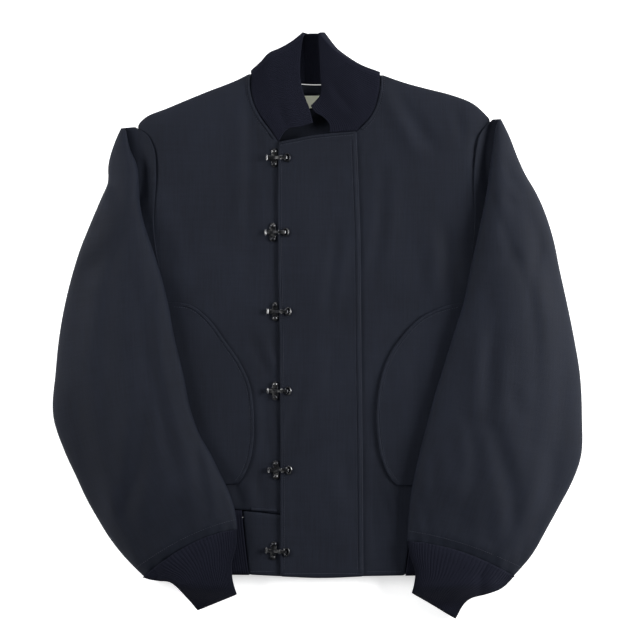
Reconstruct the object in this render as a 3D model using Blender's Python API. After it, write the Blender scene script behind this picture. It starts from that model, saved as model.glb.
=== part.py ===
"""Deck jacket laid flat on its back: sewn cloth panels, ribbed knit trim and six hook clips.

Metres, +Z up. Tables are in millimetres, seen from above: x to the viewer's right, y to the collar.
Right and left in the names are the wearer's, so the right front is at negative x.
"""
import math

import bpy
import numpy as np

# Driving dimensions, in millimetres
CLOTH = 2.5
PANEL = 3.0
KNIT = 3.5
SEAM_GAP = 0.2
LAY_GAP = 0.4
EDGE_TOP = 9.3
CROWN_TOP = 18.5
ROLL = 14.0
BACK_EDGE_LIFT = 3.0
BACK_EDGE_REACH = 5.0
FLAP_CLOTH = 2.5
POCKET_CLOTH = 1.5
POCKET_LIFT = 0.6
FACING_CLOTH = 1.2
FACING_DEPTH = 9.5
LABEL_CLOTH = 1.0
HEM_Y = -328.0
HEM_RISE = 5.0
HALF_WIDTH = 210.0
SLEEVE_SEAT = 0.7
SLEEVE_CLEAR = 3.2
SLEEVE_CLEAR_TOP = 115.0
SLEEVE_CLEAR_RUN = 60.0
SLEEVE_LOFT = 22.0
SLEEVE_LOFT_SHARE = 0.36
SLEEVE_LIP = 3.0
SLEEVE_LIP_REACH = 6.0
SLEEVE_CUFF_SHARE = 0.14
SLEEVE_CUFF_FALL = 0.62
DRAPE_RUN = 34.0
DRAPE_START = 8.0
CUFF_HEIGHT = 17.0
CUFF_RIBS = 30
RIB_HEIGHT = 0.8
COLLAR_HIGH = 16.0
COLLAR_LOW = 2.0
COLLAR_HALF_WALL = 2.0
COLLAR_RIB_SINK = 0.4
COLLAR_BACK_GAP = 0.8
COLLAR_SEAM_GAP = 0.2
NECK_CENTRE = (-5, 300)

# How finely each surface is divided, and how often a front's grid is evened
EVENING = 30
FRONT_ROWS = 28
WAIST_ROW = 4
FLAP_COLUMNS = 7
SHOULDER_COLUMNS = 7
NECK_COLUMNS = 4
RIGHT_HEM_COLUMNS = (8, 3)
LEFT_HEM_COLUMNS = (4, 7)
MEETING_COLUMN = 15
FLAP_FIRST, FLAP_LAST = 11, 18
KNIT_RIGHT_COLUMNS = 8
KNIT_LEFT_COLUMN = 22
BACK_ROWS = 16
BACK_BAND_ROWS = 2
BACK_COLUMNS = 6
POCKET_ROWS = 14
POCKET_COLUMNS = 6
SLEEVE_ROWS = 25
SLEEVE_COLUMNS = 10
CUFF_ROWS = 4
COLLAR_ROWS = 5
COLLAR_RIGHT_COLUMNS = 26
COLLAR_BACK_COLUMNS = 10
COLLAR_LEFT_COLUMNS = 24

# Clips: where each one is, then the sizes of its plate, rivets, lever and ring
CLIP_Y = (219, 122, 19, -84, -187, -292)
CLIP_X = (-56, -58, -55, -55, -54, -57)
CLIP_TURN = (0, 0, 0, 0, 0, -5)
CLIP_SEAT = 0.5
PLATE_SHIFT = -0.5
PLATE_THICK = 1.2
PLATE_EAR = 3.6
PLATE_ARM = 3.0
PLATE_REACH = 11.0
RIVET_REACH = 8.5
RIVET_SIDES = 8
RIVET_PROFILE = ((2.6, 0.6), (2.5, 1.9), (1.3, 2.7))
LEVER_LIFT = 1.6
LEVER_HALF = 2.3
LEVER_PROFILE = ((-10.5, 0.2), (-9.2, -0.1), (-8.0, 0.2), (-2, 0.2), (6.0, 2.2), (9.5, 3.1),
                 (15.1, 3.1), (15.2, 1.0), (16.4, 1.0), (16.6, 3.6), (15.5, 4.6), (9.0, 4.8),
                 (5.0, 4.0), (-2.6, 1.7), (-8.0, 1.7), (-9.2, 2.4), (-10.5, 2.1), (-11.2, 1.1))
RING_AHEAD = 16.5
RING_SEAT = 0.3
RING_BELOW_LEVER = 2.0
RING_WIRE = 1.05
RING_WIDE = 3.3
RING_TALL = 4.8
RING_STEPS = 12
RING_SIDES = 5

# Outlines of the torso, x and y of each point
RIGHT_SIDE = ((-208, -323), (-238, -265), (-260, -200), (-273, -122), (-275, -31), (-272, 21),
              (-266, 67), (-252, 112), (-236, 150), (-227, 190), (-227, 230), (-236, 262))
LEFT_SIDE = ((211, -323), (243, -265), (266, -200), (280, -122), (282, -31), (276, 21),
             (262, 70), (244, 112), (230, 150), (221, 190), (219, 230), (226, 270))
RIGHT_SHOULDER = ((-236, 262), (-227, 272), (-199, 284), (-146, 306), (-101, 324), (-86, 332))
LEFT_SHOULDER = ((81, 330), (115, 318), (145, 310), (173, 303), (205, 290), (226, 270))
RIGHT_NECK = ((-86, 332), (-86, 301), (-76, 275), (-62, 256), (-51, 240))
LEFT_NECK = ((51, 254), (70, 275), (80, 304), (81, 330))
BACK_NECK = ((-86, 332), (-49, 321), (-4, 316), (42, 320), (81, 330))
FLAP_EDGE = ((-49, -326), (-49, -161), (-50, -18), (-52, 99), (-52, 203), (-51, 240))
FLAP_SEAM = ((60, -326), (59, -161), (57, -5), (56, 112), (51, 254))
FLAP_TOP = ((-51, 240), (-30, 244), (-9, 248), (15, 251), (51, 254))
HEM_RIGHT = ((-208, -323), (-89, -324), (-49, -326))
HEM_FLAP = ((-49, -326), (3, -328), (60, -326))
HEM_LEFT = ((60, -326), (114, -325), (211, -323))
HEM_BACK = ((-208, -323), (0, -328), (211, -323))
FACING_TOP = ((-50, 317), (-4, 312), (43, 316))
LABEL_CORNERS = (((-38, 284), (24, 285)), ((-39, 301), (23, 302)))

# Pocket mouths, from the side seam down to the waistband
POCKET_RIGHT = ((-187, 31), (-166, 28), (-143, 11), (-121, -18), (-101, -47), (-88, -76),
                (-83, -109), (-83, -148), (-88, -177), (-96, -195), (-104, -206))
POCKET_LEFT = ((181, 30), (159, 24), (133, 11), (111, -11), (91, -41), (80, -76),
               (76, -109), (77, -141), (82, -171), (91, -193), (102, -208))
POCKET_BACK = 0.84
SIDE_STEPS = 80

# Sleeves: the fold beside the torso, the armhole seam and the outer fold, from shoulder to cuff
SLEEVE_RIGHT = {
    "inner": ((-250, 256), (-244, 229), (-236, 212), (-233, 190), (-232, 165), (-226, 135), (-217, 108),
              (-206, 75), (-195, 34), (-186, -14), (-175, -59), (-164, -111), (-153, -141),
              (-138, -167), (-127, -190), (-115, -215), (-107, -240), (-104, -264)),
    "armhole": ((-238, 260), (-222, 250), (-213, 232), (-210, 205), (-211, 175), (-213, 140), (-211, 108),
                (-205, 75), (-195, 34), (-186, -14), (-175, -59), (-164, -111), (-153, -141),
                (-138, -167), (-127, -190), (-115, -215), (-107, -240), (-104, -264)),
    "outer": ((-256, 259), (-266, 238), (-274, 208), (-274, 187), (-281, 171), (-296, 136), (-312, 96),
              (-327, 45), (-337, -5), (-343, -60), (-346, -119), (-332, -162), (-315, -199),
              (-301, -229), (-289, -250), (-273, -276), (-252, -302), (-226, -327)),
    "bow": 12,
}
SLEEVE_LEFT = {
    "inner": ((232, 262), (229, 240), (225, 212), (220, 177), (213, 142), (205, 106), (197, 70),
              (190, 34), (175, -14), (161, -59), (150, -95), (142, -126), (134, -156),
              (128, -182), (123, -205), (119, -232), (117, -256), (116, -279)),
    "armhole": ((228, 270), (212, 252), (205, 222), (203, 190), (204, 155), (203, 120), (197, 70),
                (190, 34), (175, -14), (161, -59), (150, -95), (142, -126), (134, -156),
                (128, -182), (123, -205), (119, -232), (117, -256), (116, -279)),
    "outer": ((238, 271), (252, 244), (261, 221), (273, 195), (284, 177), (296, 151), (308, 114),
              (317, 72), (325, 36), (336, -18), (343, -60), (346, -118), (344, -174),
              (332, -206), (317, -234), (300, -265), (280, -300), (256, -328)),
    "bow": 10,
}

# Cuff sections from the sleeve seam to the wrist edge: the two folds' places
CUFF_RIGHT = (
    # share, inner x, inner y, outer x, outer y, bow
    (0.00, -104, -265, -226, -328, 12),
    (0.30, -106, -285, -204, -331, 8),
    (0.55, -111, -305, -186, -332, 4),
    (0.80, -110, -327, -172, -346, 1),
    (1.00, -105, -348, -157, -371, 0),
)
CUFF_LEFT = (
    (0.00, 116, -280, 256, -329, 10),
    (0.30, 120, -298, 239, -343, 7),
    (0.55, 126, -318, 212, -350, 4),
    (0.80, 125, -333, 190, -356, 2),
    (1.00, 122, -346, 180, -382, 0),
)

# Knit collar: each half's upper edge, front end and side fold; its base follows the neck seam
COLLAR_RIGHT = {
    "upper": ((-6, 265), (-11, 284), (-18, 303), (-22, 320), (-22, 354), (-18, 382)),
    "end": ((-51, 240), (-40, 256), (-20, 260), (-6, 265)),
    "fold": ((-86, 332), (-72, 345), (-63, 355), (-48, 362), (-30, 373), (-18, 383)),
}
COLLAR_LEFT_START = 16.0
COLLAR_LEFT = {
    "upper": ((-9, 287), (3, 301), (3, 328), (2, 354), (1, 370), (1, 382)),
    "end": ((16, 251.3), (15, 263), (6, 273), (-4, 279), (-9, 287)),
    "fold": ((81, 330), (52, 342), (38, 351), (24, 362), (16, 372), (8, 383)),
}

# Folds on the torso: ends, depth (a ridge is positive) and half width
TORSO_FOLDS = (
    # x1, y1, x2, y2, depth, width
    (-95, 292, -91, 85, -3.0, 12),
    (-117, 306, -133, 255, -2.0, 12),
    (-179, 275, -190, 225, -2.0, 12),
    (-152, 180, -140, 60, 1.5, 22),
    (-75, -15, -60, -60, 2.0, 11),
    (-72, -90, -66, -160, -2.0, 11),
    (30, 127, 8, 5, -2.0, 11),
    (-20, -75, -38, -150, -2.0, 11),
    (0, 229, 30, 240, -1.5, 10),
    (5, 60, -10, -40, 1.5, 20),
    (79, 322, 128, 230, 2.5, 14),
    (121, 275, 156, 228, -2.0, 13),
    (86, 205, 70, 66, -1.8, 12),
    (170, 105, 172, 45, -3.0, 15),
    (20, -180, 30, -290, 1.2, 20),
)
SLEEVE_FOLDS_RIGHT = (
    (-231, 40, -228, -95, -3.2, 13),
    (-224, -100, -232, -180, -5.0, 12),
    (-234, -185, -252, -250, -3.5, 12),
    (-213, 85, -215, -60, -2.4, 12),
    (-208, -80, -184, -190, -4.0, 12),
    (-157, -140, -150, -225, -3.5, 12),
    (-285, -20, -268, -118, -2.0, 16),
    (-259, 112, -308, 58, -2.5, 16),
    (-300, 20, -318, -110, 2.0, 24),
    (-190, -60, -172, -190, 2.0, 16),
)
SLEEVE_FOLDS_LEFT = (
    (230, 10, 220, -100, -4.0, 13),
    (219, -110, 236, -165, -4.5, 12),
    (236, -170, 252, -258, -3.0, 14),
    (195, -115, 203, -200, -3.0, 12),
    (203, -205, 180, -255, -2.5, 13),
    (278, 138, 280, -25, -1.5, 12),
    (251, -83, 262, -120, -2.5, 12),
    (245, 150, 256, 90, -2.0, 14),
    (306, 40, 318, -120, 2.0, 24),
    (262, -150, 290, -240, 2.0, 20),
)


# Curves and grids
def along(points, shares):
    """Places at these shares of the length of a smooth curve through the points."""
    points = np.array(points, float)
    steps = np.linalg.norm(np.diff(points, axis=0), axis=1)
    reached = np.concatenate([[0], np.cumsum(steps)]) / steps.sum()
    slopes = np.gradient(points, reached, axis=0)
    shares = np.atleast_1d(shares)
    span = np.clip(np.searchsorted(reached, shares, side="right") - 1, 0, len(points) - 2)
    length = (reached[span + 1] - reached[span])[:, None]
    t = (shares - reached[span])[:, None] / length
    return ((2 * t**3 - 3 * t**2 + 1) * points[span] + (t**3 - 2 * t**2 + t) * length * slopes[span]
            + (3 * t**2 - 2 * t**3) * points[span + 1] + (t**3 - t**2) * length * slopes[span + 1])


def spaced(points, count):
    """A smooth curve's points at this number of equal steps."""
    return along(points, np.linspace(0, 1, count + 1))


def on_chords(points, count):
    """Points at equal steps along the straight runs between these points."""
    points = np.array(points, float)
    reached = np.concatenate([[0], np.cumsum(np.linalg.norm(np.diff(points, axis=0), axis=1))])
    places = np.linspace(0, reached[-1], count + 1)
    return np.stack([np.interp(places, reached, points[:, k]) for k in (0, 1)], axis=1)


def straight(points, counts):
    """Points along straight runs, each run divided into its own count."""
    runs = [np.linspace(a, b, n + 1)[:-1] for a, b, n in zip(points[:-1], points[1:], counts)]
    return np.vstack(runs + [np.array([points[-1]], float)])


def spaced_halves(points, count):
    """Points along two straight runs, each with half of the count."""
    return straight(points, (count // 2, count - count // 2))


def patch(bottom, top, left, right):
    """Plan grid inside four edges; bottom and top run left to right, left and right run upward."""
    u = np.linspace(0, 1, len(bottom))[None, :, None]
    v = np.linspace(0, 1, len(left))[:, None, None]
    ruled = (1 - v) * bottom[None] + v * top[None] + (1 - u) * left[:, None] + u * right[:, None]
    lower = (1 - u) * bottom[0] + u * bottom[-1]
    upper = (1 - u) * top[0] + u * top[-1]
    return ruled - (1 - v) * lower - v * upper


def evened(grid, rounds):
    """A plan grid whose inner points are drawn evenly between their neighbours."""
    grid = grid.copy()
    for _ in range(rounds):
        grid[1:-1, 1:-1] = (grid[:-2, 1:-1] + grid[2:, 1:-1] + grid[1:-1, :-2] + grid[1:-1, 2:]) / 4
    return grid


def ease(share):
    """A soft step from 0 to 1."""
    share = np.clip(share, 0, 1)
    return share * share * (3 - 2 * share)


def raised(plan, height):
    """A plan grid with a height at each point."""
    return np.dstack([plan, np.broadcast_to(height, plan.shape[:2])])


def from_segment(x, y, x1, y1, x2, y2):
    """Distance from each place to a straight segment."""
    run = (x2 - x1) ** 2 + (y2 - y1) ** 2
    share = np.clip(((x - x1) * (x2 - x1) + (y - y1) * (y2 - y1)) / run, 0, 1)
    return np.hypot(x - x1 - share * (x2 - x1), y - y1 - share * (y2 - y1))


def folded(x, y, table):
    """Height that a table's soft troughs and ridges add."""
    height = np.zeros(np.shape(x))
    for x1, y1, x2, y2, depth, width in table:
        height = height + depth * np.exp(-(from_segment(x, y, x1, y1, x2, y2) / width) ** 2)
    return height


# Heights of the laid layers
def torso_edges():
    """The torso's side and shoulder lines, run on below the hem, as two chains of points."""
    below = np.array([[0, -110]])
    right_side, left_side = spaced(RIGHT_SIDE, 60), spaced(LEFT_SIDE, 60)
    right = np.vstack([right_side[:1] + below, right_side, spaced(RIGHT_SHOULDER, 30)])
    left = np.vstack([spaced(LEFT_SHOULDER, 30), left_side[::-1], left_side[:1] + below])
    return right, left


RIGHT_EDGE, LEFT_EDGE = torso_edges()


def edge_distance(x, y):
    """Distance in from the torso's sides and shoulders, negative outside them."""
    x, y = np.asarray(x, float), np.asarray(y, float)
    nearest = np.full(x.shape, np.inf)
    for chain in (RIGHT_EDGE, LEFT_EDGE):
        for (x1, y1), (x2, y2) in zip(chain[:-1], chain[1:]):
            if (x1, y1) != (x2, y2):
                nearest = np.minimum(nearest, from_segment(x, y, x1, y1, x2, y2))
    ring = np.vstack([RIGHT_EDGE, LEFT_EDGE])
    inside = np.zeros(x.shape, bool)
    for (x1, y1), (x2, y2) in zip(ring, np.roll(ring, -1, axis=0)):
        if y1 != y2:
            crosses = ((y1 > y) != (y2 > y)) & (x < (x2 - x1) * (y - y1) / (y2 - y1) + x1)
            inside ^= crosses
    return np.where(inside, nearest, -nearest)


def torso_top(x, y, folds=TORSO_FOLDS):
    """Top of the front panels: full in the middle, rolled down at the sides and shoulders."""
    inward = np.maximum(edge_distance(x, y), 0)
    fullness = 1 - np.exp(-inward / ROLL)
    return EDGE_TOP + (CROWN_TOP - EDGE_TOP) * fullness + folded(x, y, folds) * fullness


def back_bottom(x, y):
    """Underside of the back: flat, and lifted only along its side and shoulder seams."""
    return BACK_EDGE_LIFT * np.exp(-np.maximum(edge_distance(x, y), 0) / BACK_EDGE_REACH)


def hem_y(x):
    """The hem's line."""
    return HEM_Y + HEM_RISE * (np.abs(x) / HALF_WIDTH) ** 2


def sleeve_rest(x, y):
    """What a sleeve or cuff lies on: the torso inside its outline, then down to the floor."""
    side = ease(1 + np.minimum(edge_distance(x, y) + DRAPE_START, 0) / DRAPE_RUN)
    hem = ease(1 + np.minimum(y - hem_y(x) + DRAPE_START, 0) / DRAPE_RUN)
    seated = SLEEVE_SEAT + SLEEVE_CLEAR * ease((SLEEVE_CLEAR_TOP - y) / SLEEVE_CLEAR_RUN)
    return (torso_top(x, y, ()) + seated) * side * hem


# Solids
def material(name, colour, roughness, metallic=0.0):
    made = bpy.data.materials.new(name)
    made.use_nodes = True
    shader = made.node_tree.nodes["Principled BSDF"]
    shader.inputs["Base Color"].default_value = (*colour, 1)
    shader.inputs["Roughness"].default_value = roughness
    shader.inputs["Metallic"].default_value = metallic
    return made


def volume_of(points, faces):
    """Signed volume of a closed mesh of quads and triangles."""
    total = 0.0
    for face in faces:
        a = points[face[0]]
        for b, c in zip(face[1:-1], face[2:]):
            total += np.dot(a, np.cross(points[b], points[c]))
    return total / 6


def add_object(name, points, faces, finish, sharp=35):
    """One closed solid, from millimetres to metres, with its faces out."""
    points = np.array(points, float)
    if volume_of(points, faces) < 0:
        faces = [tuple(reversed(face)) for face in faces]
    mesh = bpy.data.meshes.new(name)
    mesh.from_pydata([tuple(p) for p in points * 0.001], [], faces)
    mesh.shade_smooth()
    mesh.set_sharp_from_angle(angle=math.radians(sharp))
    mesh.materials.append(finish)
    made = bpy.data.objects.new(name, mesh)
    bpy.context.scene.collection.objects.link(made)
    return made


def drawn_in(grid, cells):
    """Grid points on the border of the chosen cells, moved in by the seam gap."""
    centres = (grid[:-1, :-1] + grid[1:, :-1] + grid[:-1, 1:] + grid[1:, 1:]) / 4
    total = np.zeros(grid.shape)
    count = np.zeros(grid.shape[:2])
    for rows in (slice(None, -1), slice(1, None)):
        for columns in (slice(None, -1), slice(1, None)):
            total[rows, columns] += centres * cells[..., None]
            count[rows, columns] += cells
    border = (count > 0) & (count < 4)
    towards = total / np.maximum(count, 1)[..., None] - grid
    towards[..., 2] = 0
    towards /= np.maximum(np.linalg.norm(towards, axis=2, keepdims=True), 1e-6)
    return grid + np.where(border[..., None], towards * SEAM_GAP, 0)


def wall(name, low, top, finish, cells=None, wrap=False):
    """A closed wall between two grids of points; cells picks which grid squares it has."""
    rows, columns = low.shape[:2]
    if cells is None:
        cells = np.ones((rows - 1, columns if wrap else columns - 1), bool)
    if not wrap:
        low, top = drawn_in(low, cells), drawn_in(top, cells)
    number = {}
    points = []

    def corner(i, j, upper):
        key = (i, j % columns, upper)
        if key not in number:
            number[key] = len(points)
            points.append((top if upper else low)[i, j % columns])
        return number[key]

    def filled(i, j):
        if wrap:
            j %= columns
        return 0 <= i < cells.shape[0] and 0 <= j < cells.shape[1] and bool(cells[i, j])

    faces = []
    for i, j in zip(*np.nonzero(cells)):
        i, j = int(i), int(j)
        ring = ((i, j), (i, j + 1), (i + 1, j + 1), (i + 1, j))
        for half in ((ring[0], ring[1], ring[2]), (ring[0], ring[2], ring[3])):
            faces.append(tuple(corner(*c, True) for c in half))
            faces.append(tuple(corner(*c, False) for c in reversed(half)))
        beyond = ((i - 1, j), (i, j + 1), (i + 1, j), (i, j - 1))
        for side, other in enumerate(beyond):
            if not filled(*other):
                a, b = ring[side], ring[(side + 1) % 4]
                faces.append((corner(*a, False), corner(*b, False), corner(*b, True), corner(*a, True)))
    return add_object(name, points, faces, finish)


def across(grid):
    """Unit normal at each point of a grid, on its upper side."""
    along_rows = np.gradient(grid, axis=1)
    up_rows = np.gradient(grid, axis=0)
    normal = np.cross(along_rows, up_rows)
    normal *= np.sign(normal[..., 2:3].mean())
    return normal / np.linalg.norm(normal, axis=2, keepdims=True)


def ribbed(grid, times, finer):
    """A grid with finer columns, every other one raised as a knit rib."""
    share = np.linspace(0, grid.shape[1] - 1, (grid.shape[1] - 1) * finer + 1)
    first = np.minimum(share.astype(int), grid.shape[1] - 2)
    part = (share - first)[None, :, None]
    fine = grid[:, first] * (1 - part) + grid[:, first + 1] * part
    fine[:, 1::2, 2] += times * RIB_HEIGHT
    return fine


# Torso panels
def front_plan():
    """Plan grid of the whole front, from the right side seam to the left one."""
    right = spaced(RIGHT_SIDE, FRONT_ROWS)
    edge = spaced(FLAP_EDGE, FRONT_ROWS)
    seam = spaced(FLAP_SEAM, FRONT_ROWS)
    left = spaced(LEFT_SIDE, FRONT_ROWS)
    top_right = np.vstack([spaced(RIGHT_SHOULDER, SHOULDER_COLUMNS), spaced(RIGHT_NECK, NECK_COLUMNS)[1:]])
    top_left = np.vstack([spaced(LEFT_NECK, NECK_COLUMNS), spaced(LEFT_SHOULDER, SHOULDER_COLUMNS)[1:]])
    first = patch(straight(HEM_RIGHT, RIGHT_HEM_COLUMNS), top_right, right, edge)
    middle = patch(spaced(HEM_FLAP, FLAP_COLUMNS), spaced(FLAP_TOP, FLAP_COLUMNS), edge, seam)
    last = patch(straight(HEM_LEFT, LEFT_HEM_COLUMNS), top_left, seam, left)
    first, middle, last = (evened(part, EVENING) for part in (first, middle, last))
    return np.hstack([first, middle[:, 1:], last[:, 1:]])


def front_pieces(cloth, knit):
    """Fronts, flap, band and knit of the front, all cut from one grid."""
    plan = front_plan()
    height = torso_top(plan[..., 0], plan[..., 1])
    top = raised(plan, height)
    low = raised(plan, height - PANEL)
    rows, columns = plan.shape[0] - 1, plan.shape[1] - 1
    row = np.arange(rows)[:, None] + np.zeros((rows, columns), int)
    column = np.arange(columns)[None, :] + np.zeros((rows, columns), int)
    on_right = column < MEETING_COLUMN
    in_band = row < WAIST_ROW
    wall("front_right", low, top, cloth, on_right & ~in_band)
    wall("front_band_right", low, top, cloth, on_right & in_band & (column >= KNIT_RIGHT_COLUMNS))
    wall("front_left", low, top, cloth, ~on_right & ((column < KNIT_LEFT_COLUMN) | ~in_band))
    for name, first, last in (("waist_knit_right", 0, KNIT_RIGHT_COLUMNS),
                              ("waist_knit_left", KNIT_LEFT_COLUMN, columns)):
        part = slice(first, last + 1)
        wall(name, ribbed(low[:WAIST_ROW + 1, part], 0, 2), ribbed(top[:WAIST_ROW + 1, part], -1, 2), knit)
    lift = raised(np.zeros(plan.shape), LAY_GAP)
    thick = raised(np.zeros(plan.shape), LAY_GAP + FLAP_CLOTH)
    wall("front_flap", top + lift, top + thick, cloth, (column >= FLAP_FIRST) & (column < FLAP_LAST))


def back_pieces(cloth, knit):
    """The back and its knit band, flat underneath."""
    left = spaced(RIGHT_SIDE, BACK_ROWS)
    right = spaced(LEFT_SIDE, BACK_ROWS)
    hem = spaced_halves(HEM_BACK, 3 * BACK_COLUMNS)
    top = np.vstack([spaced(RIGHT_SHOULDER, BACK_COLUMNS), spaced(BACK_NECK, BACK_COLUMNS)[1:],
                     spaced(LEFT_SHOULDER, BACK_COLUMNS)[1:]])
    plan = patch(hem, top, left, right)
    bottom = back_bottom(plan[..., 0], plan[..., 1])
    row = np.arange(BACK_ROWS)[:, None] + np.zeros((BACK_ROWS, 3 * BACK_COLUMNS), int)
    in_band = row < BACK_BAND_ROWS
    wall("back", raised(plan, bottom), raised(plan, bottom + PANEL), cloth, ~in_band)
    wall("waist_knit_back", raised(plan, bottom), raised(plan, bottom + PANEL), knit, in_band)


def pocket(name, mouth, cloth):
    """Half-moon pocket on a front: its curved mouth, and its back edge towards the side seam."""
    curve = spaced(mouth, POCKET_ROWS)
    side = RIGHT_SIDE if mouth[0][0] < 0 else LEFT_SIDE
    seam = spaced(side, SIDE_STEPS)[:SIDE_STEPS * 5 // 8]
    far = np.interp(curve[:, 1], seam[:, 1], seam[:, 0]) * POCKET_BACK
    shares = np.linspace(0, 1, POCKET_COLUMNS + 1)[None, :, None]
    edge = np.dstack([far, curve[:, 1]])[0]
    plan = curve[:, None] * (1 - shares) + edge[:, None] * shares
    height = torso_top(plan[..., 0], plan[..., 1]) + POCKET_LIFT
    wall(name, raised(plan, height), raised(plan, height + POCKET_CLOTH), cloth)


def neck_inside(facing_cloth, label_cloth):
    """The facing strip under the back neck and the blank label below it."""
    upper = spaced(FACING_TOP, 6)
    plan = np.stack([upper - np.array([0, FACING_DEPTH]), upper])
    seat = PANEL + LAY_GAP
    wall("neck_facing", raised(plan, seat), raised(plan, seat + FACING_CLOTH), facing_cloth)
    corners = np.array(LABEL_CORNERS, float)
    wall("label", raised(corners, seat), raised(corners, seat + LABEL_CLOTH), label_cloth)


# Sleeves and cuffs
def sleeve(side, table, folds, cloth):
    """Upper and under sleeve, lying partly on the torso; they meet along both folds."""
    inner = spaced(table["inner"], SLEEVE_ROWS)[:, None]
    hole = spaced(table["armhole"], SLEEVE_ROWS)[:, None]
    outer = spaced(table["outer"], SLEEVE_ROWS)[:, None]
    angle = np.linspace(0, math.pi, SLEEVE_COLUMNS + 1)
    share = ((1 - np.cos(angle)) / 2)[None, :, None]
    station = np.linspace(0, 1, SLEEVE_ROWS + 1)
    bow = table["bow"] * 4 * share * (1 - share) * (station ** 8)[:, None, None] * np.array([0, 1])
    width = np.linalg.norm(outer - inner, axis=2)
    tucked = np.minimum(np.linalg.norm(hole - inner, axis=2) / SLEEVE_LIP_REACH, 1)
    lip = SLEEVE_LIP * (np.exp(-(1 - share[..., 0]) * width / SLEEVE_LIP_REACH)
                        + (1 - tucked) * np.exp(-share[..., 0] * width / SLEEVE_LIP_REACH))

    under = hole + (outer - hole) * share + bow
    rest = sleeve_rest(under[..., 0], under[..., 1]) + lip
    wall(f"sleeve_{side}_under", raised(under, rest), raised(under, rest + CLOTH), cloth)

    plan = inner + (outer - inner) * share + bow
    rest = sleeve_rest(plan[..., 0], plan[..., 1]) + lip + CLOTH + LAY_GAP + 0.5 * tucked
    level = (rest[:, :1] * (1 - share[..., 0]) + rest[:, -1:] * share[..., 0])
    near_cuff = ease((station[:, None] - 1 + SLEEVE_CUFF_SHARE) / SLEEVE_CUFF_SHARE)
    loft = np.minimum(SLEEVE_LOFT, SLEEVE_LOFT_SHARE * width) * (1 - SLEEVE_CUFF_FALL * near_cuff)
    dome = np.sin(angle)[None, :] ** 0.8
    rounded = 0.6 * rest + 0.4 * level + CLOTH + loft * dome
    rounded = rounded + folded(plan[..., 0], plan[..., 1], folds) * dome * ease((1 - station[:, None]) / 0.1)
    top = raised(plan, np.maximum(rounded, rest + CLOTH))
    low = top - across(top) * CLOTH
    for end in (0, -1):
        low[end, :, :2] = top[end, :, :2]
    low[..., 2] = np.maximum(low[..., 2], rest)
    low[:, 0], low[:, -1] = top[:, 0], top[:, -1]
    low[:, 0, 2] = rest[:, 0]
    low[:, -1, 2] = rest[:, -1]
    wall(f"sleeve_{side}_top", low, top, cloth)


def cuff(name, table, knit):
    """Flattened ribbed tube from the sleeve seam to the wrist edge."""
    table = np.array(table, float)
    station = np.linspace(0, 1, CUFF_ROWS + 1)
    angle = np.linspace(0, 2 * math.pi, 2 * CUFF_RIBS, endpoint=False)
    columns = [np.interp(station, table[:, 0], table[:, k]) for k in range(1, 6)]
    inner = np.stack(columns[0:2], axis=1)[:, None]
    outer = np.stack(columns[2:4], axis=1)[:, None]
    towards = (outer - inner) / np.linalg.norm(outer - inner, axis=2, keepdims=True)
    wave = np.where(np.arange(2 * CUFF_RIBS) % 2, RIB_HEIGHT, 0)[None, :]
    rings = []
    for inset, ribs in ((0.0, wave), (KNIT, 0 * wave)):
        a, b = inner + towards * inset, outer - towards * inset
        share = ((1 - np.cos(angle)) / 2)[None, :, None]
        plan = a + (b - a) * share
        plan = plan + columns[4][:, None, None] * 4 * share * (1 - share) * np.array([0, 1])
        half = CUFF_HEIGHT / 2 - inset
        lift = np.sin(angle)[None, :]
        upper = half * np.abs(lift) ** 0.7 - np.where(lift > 0.2, ribs, 0)
        lower = -half * np.abs(lift) ** 0.35
        ground = sleeve_rest(plan[..., 0], plan[..., 1])
        height = ground + CUFF_HEIGHT / 2 + np.where(lift >= 0, upper, lower)
        rings.append(raised(plan, height))
    wall(name, rings[1], rings[0], knit, wrap=True)


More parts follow.
